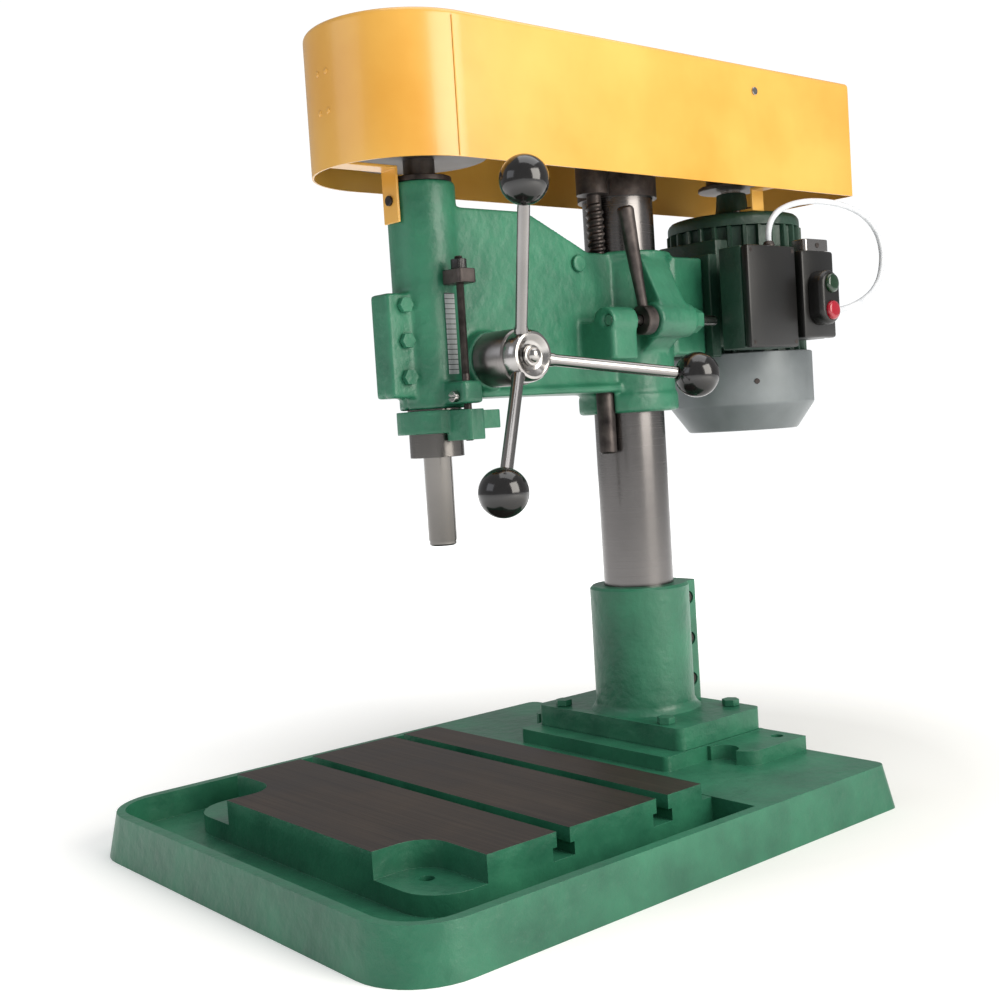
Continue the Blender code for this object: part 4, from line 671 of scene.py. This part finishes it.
# ---- return spring drum ----
# A pressed steel drum on the far end of the pinion's shaft. It holds the flat spiral spring that
# lifts the quill back up.
drum_low, drum_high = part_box("spring_drum")
profile = [
    (0.0, -drum_low.x),
    (0.0120, -drum_low.x),
    (0.0135, -drum_low.x - 0.0012),
    (0.0330, -drum_low.x - 0.0014),
    (0.0375, -drum_low.x - 0.0020),
    (0.0393, -drum_low.x - 0.0042),
    (0.0398, -drum_low.x - 0.0075),
    (0.0398, -drum_high.x),
    (0.0362, -drum_high.x),
    (0.0362, -drum_low.x - 0.0036),
    (0.0, -drum_low.x - 0.0030),
]
shape = lathed(profile, (0, feed_y, feed_z), (-1, 0, 0), 72)
drum = settle("spring_drum_fine", shape, "head", dark_steel, "spring_drum")

# ---- column lock ----
# A stud draws the split sleeve together when its forged steel lever is pulled over. The lever's boss
# sits in the gap between the two green lugs, and a painted nut closes the stud's far end.
lock_x, lock_z = 0.072, 0.526
shape = lathed(
    [
        (0.0066, -0.0345),
        (0.0150, -0.0345),
        (0.0160, -0.0357),
        (0.0160, -0.0483),
        (0.0150, -0.0495),
        (0.0066, -0.0495),
    ],
    (0, 0, 0),
    steps=48,
)
bmesh.ops.rotate(shape, cent=(0, 0, 0), matrix=Matrix.Rotation(-math.pi / 2, 3, "X"), verts=shape.verts)
bmesh.ops.translate(shape, vec=(lock_x, 0, lock_z), verts=shape.verts)
bar_start = Vector((lock_x, -0.0430, lock_z + 0.0135))
bar_end = Vector((lock_x + 0.003, -0.066, 0.6475))
bar_aim = bar_end - bar_start
bar = lathed(
    [
        (0.0, bar_aim.length),
        (0.0056, bar_aim.length - 0.0004),
        (0.0082, bar_aim.length - 0.0020),
        (0.0093, bar_aim.length - 0.0050),
        (0.0090, bar_aim.length - 0.0120),
        (0.0072, bar_aim.length * 0.45),
        (0.0056, 0.012),
        (0.0055, 0.0),
        (0.0, 0.0),
    ],
    bar_start,
    bar_aim,
    32,
)
shape.from_mesh(as_mesh("bar", bar))
bmesh.ops.recalc_face_normals(shape, faces=shape.faces)
lever = settle("lock_lever_fine", shape, "lever", dark_steel, "lock_lever")
stud = packed("lock_stud", "head", bright_steel, 0.0008)
lock_nut = packed("lock_nut", "head", green_enamel, 0.0012)

# ---- belt guard ----
# A deep tray of 2 mm steel sheet, folded and welded, with a half-round nose over the spindle. It is
# sprayed in glossy yellow enamel. A lapped seam, a row of rivets and a few screws hold its wall.
yellow_enamel, tree, shader = finish_named(
    "yellow_enamel", Specular_IOR_Level=0.5, Coat_Weight=0.35, Coat_Roughness=0.18
)
pattern = {"Scale": 7.0, "Detail": 4.0}
place, _ = mottled(tree, shader, pattern, "CC9336", "DAA94E", (0.3, 0.7), (0.28, 0.42))
peel = add(tree, "ShaderNodeTexNoise", {"Scale": 420.0, "Detail": 1.0}, Vector=place)
dent = add(tree, "ShaderNodeTexNoise", {"Scale": 16.0, "Detail": 1.0}, Vector=place)
fine = bumped(tree, peel.outputs["Fac"], 0.12, 0.0002)
tree.links.new(bumped(tree, dent.outputs["Fac"], 0.25, 0.0016, fine), shader.inputs["Normal"])

low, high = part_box("belt_guard")
half = high.x
nose_y = low.y + half
sheet = 0.002
fold = 0.006
back_corner = 0.004
screw_proud = 0.0005
roof = high.z - screw_proud


def wall(shape, one, two):
    """Closes the band between two loops of as many points."""
    for spot in range(len(one)):
        after = (spot + 1) % len(one)
        shape.faces.new((one[spot], one[after], two[after], two[spot]))


def guard_ring(shape, inset, z):
    """One closed loop of the guard's outline, drawn in by inset, at a height."""
    reach = half - inset
    spots = []
    for step in range(49):
        angle = math.pi + math.pi * step / 48
        spots.append((reach * math.cos(angle), nose_y + reach * math.sin(angle)))
    corner = max(0.0, back_corner - inset)
    for side in (1, -1):
        for step in range(5):
            turn = math.pi / 2 * (step if side > 0 else 4 - step) / 4
            x = side * (reach - corner + corner * math.cos(turn))
            spots.append((x, high.y - inset - corner + corner * math.sin(turn)))
    return [shape.verts.new((x, y, z)) for x, y in spots]


shape = bmesh.new()
heights = [(0.0, low.z), (0.0, roof - fold)]
for step in range(1, 7):
    turn = math.pi / 2 * step / 6
    heights.append((fold * (1 - math.cos(turn)), roof - fold + fold * math.sin(turn)))
inner = fold - sheet
for step in range(6, -1, -1):
    turn = math.pi / 2 * step / 6
    heights.append((sheet + inner * (1 - math.cos(turn)), roof - fold + inner * math.sin(turn)))
heights.append((sheet, low.z))
loops = [guard_ring(shape, inset, z) for inset, z in heights]
outer_top, inner_top = 7, 8
for index, (one, two) in enumerate(zip(loops, loops[1:])):
    if index != outer_top:
        wall(shape, one, two)
wall(shape, loops[-1], loops[0])
shape.faces.new(loops[outer_top])
shape.faces.new(loops[inner_top])
bmesh.ops.remove_doubles(shape, verts=shape.verts, dist=0.000005)
bmesh.ops.recalc_face_normals(shape, faces=shape.faces)
guard = settle("belt_guard_fine", shape, "head", yellow_enamel, "belt_guard", angle=40)

# The front piece of the wall laps over the side sheets and is riveted to a strap behind the nose.
seam_depth, seam_width, seam_back = 0.0006, 0.0012, 0.012
for side, name in ((-1, "left"), (1, "right")):
    shape = bmesh.new()
    bmesh.ops.create_cube(shape, size=1.0)
    bmesh.ops.scale(shape, vec=(seam_depth, seam_width, high.z - low.z - fold - 0.002), verts=shape.verts)
    middle = Vector((side * (half - 0.0001), nose_y - seam_back, (low.z + high.z - fold) / 2))
    bmesh.ops.translate(shape, vec=middle, verts=shape.verts)
    settle("guard_seam_" + name, shape, "head", yellow_enamel)


def rivet(name, at, aim, radius, height, finish):
    """A domed head standing on a surface."""
    profile = [
        (0.0, height),
        (radius * 0.45, height * 0.93),
        (radius * 0.78, height * 0.66),
        (radius * 0.96, height * 0.30),
        (radius, -0.0004),
        (0.0, -0.0004),
    ]
    return settle(name, lathed(profile, at, aim, 28), "head", finish, angle=70)


def slotted_head(name, at, aim, radius, height, finish, slot_along=(0, 0, 1)):
    """A flat screw head with a sawn slot, standing on a surface."""
    profile = [(0.0, height), (radius - 0.0004, height), (radius, height - 0.0004)]
    profile += [(radius, -0.0004), (0.0, -0.0004)]
    shape = lathed(profile, (0, 0, 0), (0, 0, 1), 32)
    for offset in (-0.0006, 0.0006):
        everything = shape.verts[:] + shape.edges[:] + shape.faces[:]
        bmesh.ops.bisect_plane(shape, geom=everything, plane_co=(offset, 0, 0), plane_no=(1, 0, 0))
    sunk = [f for f in shape.faces if f.normal.z > 0.9 and abs(f.calc_center_median().x) < 0.0005]
    grown = bmesh.ops.extrude_face_region(shape, geom=sunk)["geom"]
    moved = [v for v in grown if isinstance(v, bmesh.types.BMVert)]
    bmesh.ops.translate(shape, vec=(0, 0, -min(0.0010, height * 0.6)), verts=moved)
    up = Vector(aim).normalized()
    along = (Vector(slot_along) - up * up.dot(Vector(slot_along))).normalized()
    turn = Matrix((along.cross(up), along, up)).transposed()
    bmesh.ops.rotate(shape, cent=(0, 0, 0), matrix=turn, verts=shape.verts)
    bmesh.ops.translate(shape, vec=Vector(at), verts=shape.verts)
    return settle(name, shape, "head", finish, angle=30)


rivet_rows, rivet_half_pitch = (0.767, 0.730), 0.007
for number, z in enumerate(rivet_rows):
    for side, name in ((-1, "left"), (1, "right")):
        out = Vector((side * rivet_half_pitch, -half, 0)).normalized()
        at = Vector((0, nose_y, z)) + out * (half - 0.0001)
        rivet("guard_rivet_%s_%d" % (name, number + 1), at, out, 0.0030, 0.0012, yellow_enamel)
slotted_head("guard_side_screw", (half, 0.134, 0.785), (1, 0, 0), 0.0045, 0.0018, bright_steel)
for number, y in enumerate((-0.067, -0.023)):
    at = (0.075, y, roof)
    slotted_head("guard_roof_screw_%d" % (number + 1), at, (0, 0, 1), 0.0040, screw_proud, dark_steel)

# ---- guard strap and rear bracket ----
# Two bent steel strips carry the guard: one bolted to the front of the spindle housing, the other
# standing on the motor's end cover. Both are sprayed with the guard.
strap = packed("guard_strap_front", "head", yellow_enamel, 0.0007)
strap_face, strap_screw_z = -0.3195, 0.650
at = (0, strap_face, strap_screw_z)
slotted_head("strap_screw", at, (0, -1, 0), 0.0050, 0.0028, dark_steel, slot_along=(1, 0, 0))
bracket = packed("guard_bracket_rear", "head", yellow_enamel, 0.0007)
bracket_seat = (0.052, 0.170, 0.6596)
slotted_head("bracket_screw", bracket_seat, (0, 0, 1), 0.0042, 0.0026, dark_steel, slot_along=(1, 1, 0))

# ---- pulleys and belt ----
# Two four-step cone pulleys turned from cast iron, large above small and small above large. One
# V-belt runs in a matching pair of grooves.
pulley_iron, tree, shader = finish_named("pulley_iron", Metallic=0.85)
place, _ = mottled(tree, shader, {"Scale": 60.0, "Detail": 6.0}, "2E2A28", "6A6460", shine=(0.32, 0.55))
cut_marks = add(tree, "ShaderNodeTexWave", {"Scale": 900.0, "bands_direction": "Z"}, Vector=place)
tree.links.new(bumped(tree, cut_marks.outputs["Fac"], 0.08, 0.0001), shader.inputs["Normal"])

pulley_low, pulley_step, groove_depth = 0.692, 0.024, 0.010
sleeve_radius = 0.016


def cone_pulley(name, y, body, bore, sizes, sleeve):
    """A four-step V pulley. The sizes are the step radii from the top down, and the sleeve is its low end."""
    profile = []
    for step, radius in enumerate(sizes):
        middle = pulley_low + (3 - step + 0.5) * pulley_step
        profile += [
            (radius - 0.0008, middle + pulley_step / 2 - 0.00015),
            (radius, middle + pulley_step / 2 - 0.0010),
            (radius, middle + 0.0078),
            (radius - 0.0006, middle + 0.0070),
            (radius - groove_depth, middle + 0.0042),
            (radius - groove_depth, middle - 0.0042),
            (radius - 0.0006, middle - 0.0070),
            (radius, middle - 0.0078),
            (radius, middle - pulley_step / 2 + 0.0010),
            (radius - 0.0008, middle - pulley_step / 2 + 0.00015),
        ]
    top = pulley_low + 4 * pulley_step
    bottom = [(bore, pulley_low)]
    if sleeve:
        bottom = [(sleeve_radius, pulley_low), (sleeve_radius, sleeve), (bore, sleeve)]
    profile = [(bore, top - 0.003), (0.022, top - 0.003), (0.024, top)] + profile + bottom
    shape = lathed(profile, (0, y, 0), steps=96)
    made = settle(name + "_fine", shape, body, pulley_iron, name, angle=25)


motor_y = 0.201
cone_pulley("spindle_pulley", spindle_y, "front_pulley", 0.0093, (0.040, 0.050, 0.060, 0.070), 0.612)
cone_pulley("motor_pulley", motor_y, "rotor", 0.0123, (0.070, 0.060, 0.050, 0.040), None)

belt_rubber, tree, shader = finish_named("belt_rubber", Specular_IOR_Level=0.35)
_, dust = mottled(tree, shader, {"Scale": 90.0, "Detail": 5.0}, "121212", "2C2A29", shine=(0.55, 0.8))
tree.links.new(bumped(tree, dust, 0.3, 0.0002), shader.inputs["Normal"])
belt = settle("drive_belt_fine", merged("drive_belt"), "head", belt_rubber, "drive_belt", angle=28)
round_edges(belt, 0.0006, 2, 50)

# ---- motor ----
# An upright induction motor: a finned cast body in the green enamel painted darker as shade, a domed end
# cover above, and its shaft, fan and grey pressed cowl below. A plate in the same shaded green holds it
# behind the sleeve.
# The darker green is the green enamel with painted shade: the motor, its end cover, plate and terminal box
# sit in shadow behind the head.
dark_green_enamel = casting_enamel("dark_green_enamel", "0E241B", "1D4232", 0.42)
low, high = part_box("motor_body")
fins, fin_core, fin_tip = 28, 0.076, 0.082
shape = bmesh.new()
ring = []
for fin in range(fins):
    for share, radius in (
        (0.0, fin_core),
        (0.56, fin_core),
        (0.63, fin_core + 0.0006),
        (0.69, fin_tip - 0.0010),
        (0.72, fin_tip - 0.0001),
        (0.90, fin_tip - 0.0001),
        (0.93, fin_tip - 0.0010),
        (0.985, fin_core + 0.0006),
    ):
        turn = math.tau * (fin + share) / fins
        ring.append((radius, turn))
levels = [(low.z, 0.0010), (low.z + 0.0010, 0.0), (high.z - 0.0010, 0.0), (high.z, 0.0010)]
loops = [
    [shape.verts.new(((r - drop) * math.cos(a), motor_y + (r - drop) * math.sin(a), z)) for r, a in ring]
    for z, drop in levels
]
for one, two in zip(loops, loops[1:]):
    wall(shape, one, two)
shape.faces.new(list(reversed(loops[0])))
shape.faces.new(loops[-1])
for x, y, z in (
    ((-0.046, 0.046), (0.1124, 0.171), (0.497, 0.624)),
    ((0.040, 0.0796), (0.118, 0.160), (0.506, 0.592)),
    ((0.060, 0.0836), (0.180, 0.220), (0.515, 0.588)),
):
    join_box(shape, x, y, z, 0.003)
bmesh.ops.recalc_face_normals(shape, faces=shape.faces)
motor = settle("motor_body_fine", shape, "head", dark_green_enamel, "motor_body")

cover_base, cover_top = 0.6403, 0.656
profile = [
    (0.0125, 0.6878),
    (0.0172, 0.6878),
    (0.0180, 0.6870),
    (0.0196, 0.6700),
    (0.0208, 0.6650),
    (0.0236, 0.6606),
    (0.0282, 0.6572),
    (0.0330, 0.6560),
    (0.0725, cover_top),
    (0.0755, cover_top - 0.0009),
    (0.0782, cover_top - 0.0035),
    (0.0797, cover_top - 0.0065),
    (0.0800, cover_top - 0.0090),
    (0.0800, cover_base),
    (0.0125, cover_base),
]
shape = lathed(profile, (0, motor_y, 0), steps=96)
# The end cover also takes the darker green, which is painted shade.
cover = settle("motor_end_cover_fine", shape, "head", dark_green_enamel, "motor_end_cover")
screw_ring = 0.063
for corner in range(4):
    turn = math.pi / 4 + corner * math.pi / 2
    at = (screw_ring * math.cos(turn), motor_y + screw_ring * math.sin(turn), cover_top)
    name = "cover_screw_%d" % (corner + 1)
    slotted_head(name, at, (0, 0, 1), 0.0042, 0.0026, dark_steel, slot_along=(1, 0.3, 0))

rotor_steel = polished_steel("rotor_steel", "B4B2B0", 0.26, (0, 0, 1), 0.8)
profile = [(0.0, 0.7940), (0.0112, 0.7940), (0.0120, 0.7932)]
profile += [(0.0120, 0.4168), (0.0112, 0.4160), (0.0, 0.4160)]
shape = lathed(profile, (0, motor_y, 0), steps=48)
rotor = settle("rotor_shaft_fine", shape, "rotor", rotor_steel, "rotor_shaft")
fan = packed("motor_fan", "rotor", gloss_black, 0.0006)

grey_enamel, tree, shader = finish_named("grey_enamel", Metallic=0.25, Specular_IOR_Level=0.5)
pattern = {"Scale": 11.0, "Detail": 5.0}
place, _ = mottled(tree, shader, pattern, "5A6062", "7B8183", (0.3, 0.7), (0.34, 0.5))
peel = add(tree, "ShaderNodeTexNoise", {"Scale": 500.0, "Detail": 1.0}, Vector=place)
tree.links.new(bumped(tree, peel.outputs["Fac"], 0.12, 0.0002), shader.inputs["Normal"])


def cut_away(made, name, cutters):
    """Cuts a bmesh of cutters out of a piece and keeps the result as its mesh."""
    cutter = bpy.data.objects.new(name, as_mesh(name, cutters))
    bpy.context.scene.collection.objects.link(cutter)
    taken = made.modifiers.new(name, "BOOLEAN")
    taken.object = cutter
    taken.operation = "DIFFERENCE"
    taken.solver = "EXACT"
    graph = bpy.context.evaluated_depsgraph_get()
    made.data = bpy.data.meshes.new_from_object(made.evaluated_get(graph))
    made.modifiers.clear()
    bpy.data.objects.remove(cutter)


cowl_radius, cowl_top, cowl_edge, cowl_bottom = 0.088, 0.490, 0.428, 0.397
profile = [
    (cowl_radius - 0.002, cowl_top),
    (cowl_radius - 0.0012, cowl_top),
    (cowl_radius, cowl_top - 0.0010),
    (cowl_radius, cowl_edge + 0.0016),
    (cowl_radius - 0.0004, cowl_edge),
    (cowl_radius - 0.0016, cowl_edge - 0.0022),
    (cowl_radius - 0.0206, cowl_bottom + 0.0018),
    (cowl_radius - 0.0224, cowl_bottom + 0.0004),
    (cowl_radius - 0.0244, cowl_bottom),
    (0.0, cowl_bottom),
    (0.0, cowl_bottom + 0.002),
    (cowl_radius - 0.023, cowl_bottom + 0.002),
    (cowl_radius - 0.002, cowl_edge + 0.001),
]
shape = lathed(profile, (0, motor_y, 0), steps=128)
cowl = settle("fan_cowl_fine", shape, "head", grey_enamel, "fan_cowl")
slits = bmesh.new()
grille_radius, slit_pitch, slit_half = 0.056, 0.014, 0.0035
for slot in range(-3, 4):
    y = motor_y + slot * slit_pitch
    reach = math.sqrt(grille_radius**2 - (slot * slit_pitch) ** 2)
    join_box(slits, (-reach, reach), (y - slit_half, y + slit_half), (0.385, 0.403))
cut_away(cowl, "grille_slits", slits)
cowl_screw_z = 0.455
for step in range(3):
    turn = math.radians(-38) + step * math.tau / 3
    out = Vector((math.cos(turn), math.sin(turn), 0))
    at = Vector((0, motor_y, cowl_screw_z)) + out * (cowl_radius - 0.0002)
    slotted_head("cowl_screw_%d" % (step + 1), at, out, 0.0032, 0.0014, dark_steel)

# The plate is in the darker green, painted shade, as it sits in the head's shadow.
plate = packed("motor_plate", "head", dark_green_enamel, 0.002)

# ---- terminal box and lid ----
# A cast terminal box in the motor's green, painted darker as shade, stands on the frame, with a gland for the
# cable on top. A black moulded lid closes it with four screws.
low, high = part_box("terminal_box")
box_top = 0.606
shape = bmesh.new()
join_box(shape, (low.x, high.x), (low.y, high.y), (low.z, box_top), 0.0022)
terminal = settle("terminal_box_fine", shape, "head", dark_green_enamel, "terminal_box")
gland_x, gland_y = lead_x, lead_route[0][0]
profile = [
    (0.0, high.z - 0.0002),
    (0.0044, high.z - 0.0002),
    (0.0058, high.z - 0.0014),
    (0.0066, high.z - 0.0038),
    (0.0070, high.z - 0.0045),
    (0.0070, box_top - 0.0002),
    (0.0, box_top - 0.0002),
]
settle("terminal_gland", lathed(profile, (gland_x, gland_y, 0), steps=40), "head", dark_steel)

satin_black, tree, shader = finish_named("satin_black", Specular_IOR_Level=0.45)
place, _ = mottled(tree, shader, {"Scale": 18.0, "Detail": 4.0}, "080808", "121110", shine=(0.30, 0.42))
skin = add(tree, "ShaderNodeTexNoise", {"Scale": 900.0, "Detail": 1.0}, Vector=place)
tree.links.new(bumped(tree, skin.outputs["Fac"], 0.10, 0.0001), shader.inputs["Normal"])

low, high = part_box("terminal_lid")
shape = bmesh.new()
join_box(shape, (low.x, high.x), (low.y, high.y), (low.z, high.z), 0.0030)
rim = 0.009
panel = ((high.x - 0.002, high.x - 0.0001), (low.y + rim, high.y - rim), (low.z + rim, high.z - rim))
join_box(shape, *panel, 0.0008)
lid = settle("terminal_lid_fine", shape, "head", satin_black, "terminal_lid")
screw_inset = 0.0058
for row, y in enumerate((low.y + screw_inset, high.y - screw_inset)):
    for level, z in enumerate((low.z + screw_inset, high.z - screw_inset)):
        at = (high.x - 0.0004, y, z)
        slotted_head("lid_screw_%d_%d" % (row, level), at, (1, 0, 0), 0.0026, 0.0006, dark_steel)

# ---- switch box ----
# A black moulded starter with a raised oval collar. A green start button stands over a red stop
# button, each in its own ring, and the cable enters through a gland in the back wall.
low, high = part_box("switch_box")
back_wall = 0.230
shape = bmesh.new()
join_box(shape, (low.x, high.x - 0.014), (low.y, back_wall), (low.z, high.z), 0.0024)
join_box(shape, (high.x - 0.0132, high.x), (low.y, back_wall), (low.z, high.z), 0.0030)
lip = 0.0015
join_box(shape, (high.x - 0.016, high.x - 0.010), (low.y + lip, back_wall - lip), (low.z + lip, high.z - lip))
switch = settle("switch_box_fine", shape, "head", satin_black, "switch_box")
gland_z = lead_route[-1][1]
profile = [
    (0.0, high.y - 0.0002),
    (0.0044, high.y - 0.0002),
    (0.0060, high.y - 0.0016),
    (0.0070, high.y - 0.0040),
    (0.0070, back_wall - 0.0002),
    (0.0, back_wall - 0.0002),
]
shape = lathed(profile, (gland_x, 0, gland_z), (0, 1, 0), 40)
settle("switch_gland", shape, "head", gloss_black)

low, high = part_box("switch_bezel")
bezel_y, bezel_half = (low.y + high.y) / 2, (high.y - low.y) / 2
wells = (("start", 0.562), ("stop", 0.531))


def stadium(shape, x, half_width):
    """One closed oval loop round both buttons at a given X."""
    spots = []
    for centre, first in ((high.z - bezel_half, 0.0), (low.z + bezel_half, math.pi)):
        for step in range(25):
            turn = first + math.pi * step / 24
            spots.append((x, bezel_y + half_width * math.cos(turn), centre + half_width * math.sin(turn)))
    return [shape.verts.new(spot) for spot in spots]


shape = bmesh.new()
steps = (
    (low.x, bezel_half - 0.0004),
    (low.x + 0.0006, bezel_half),
    (high.x - 0.0060, bezel_half),
    (high.x - 0.0036, bezel_half - 0.0006),
    (high.x - 0.0012, bezel_half - 0.0022),
    (high.x - 0.0002, bezel_half - 0.0040),
    (high.x, bezel_half - 0.0052),
)
loops = [stadium(shape, x, width) for x, width in steps]
for one, two in zip(loops, loops[1:]):
    wall(shape, one, two)
shape.faces.new(loops[0])
shape.faces.new(loops[-1])
bmesh.ops.recalc_face_normals(shape, faces=shape.faces)
bezel = settle("switch_bezel_fine", shape, "head", satin_black, "switch_bezel")
wells_cut = bmesh.new()
well_radius = 0.0113
well_top, well_floor = high.x + 0.01, high.x - 0.009
profile = [(0.0, well_top), (well_radius, well_top), (well_radius, well_floor), (0.0, well_floor)]
for name, z in wells:
    wells_cut.from_mesh(as_mesh("well", lathed(profile, (0, bezel_y, z), (1, 0, 0), 64)))
cut_away(bezel, "button_wells", wells_cut)


def gloss_plastic(name, dark, light):
    """Moulded button plastic, glossy with a slightly uneven tint."""
    made, tree, shader = finish_named(name, Roughness=0.16, Coat_Weight=0.3, Coat_Roughness=0.08)
    mottled(tree, shader, {"Scale": 70.0, "Detail": 3.0}, dark, light)
    return made


button_finish = {
    "start": gloss_plastic("green_plastic", "082010", "0F331B"),
    "stop": gloss_plastic("red_plastic", "7A0718", "A01228"),
}
for name, z in wells:
    node = name + "_button"
    button_low, button_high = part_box(node)
    profile = [
        (0.0, button_high.x),
        (0.0060, button_high.x - 0.0002),
        (0.0088, button_high.x - 0.0007),
        (0.0102, button_high.x - 0.0016),
        (0.0109, button_high.x - 0.0030),
        (0.0110, button_high.x - 0.0042),
        (0.0110, button_low.x),
        (0.0, button_low.x),
    ]
    shape = lathed(profile, (0, bezel_y, z), (1, 0, 0), 64)
    button = settle(node + "_fine", shape, name + "_key", button_finish[name], node, angle=50)

# ---- conduit block ----
# A small bare metal block with rounded edges on top of the starter, where the fixed supply conduit
# would be clamped. A set screw on its face holds the conduit.
conduit = packed("conduit_block", "head", bright_steel, 0.0012)
low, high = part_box("conduit_block")
at = (high.x, (low.y + high.y) / 2, (low.z + high.z) / 2)
slotted_head("conduit_screw", at, (1, 0, 0), 0.0030, 0.0010, dark_steel)
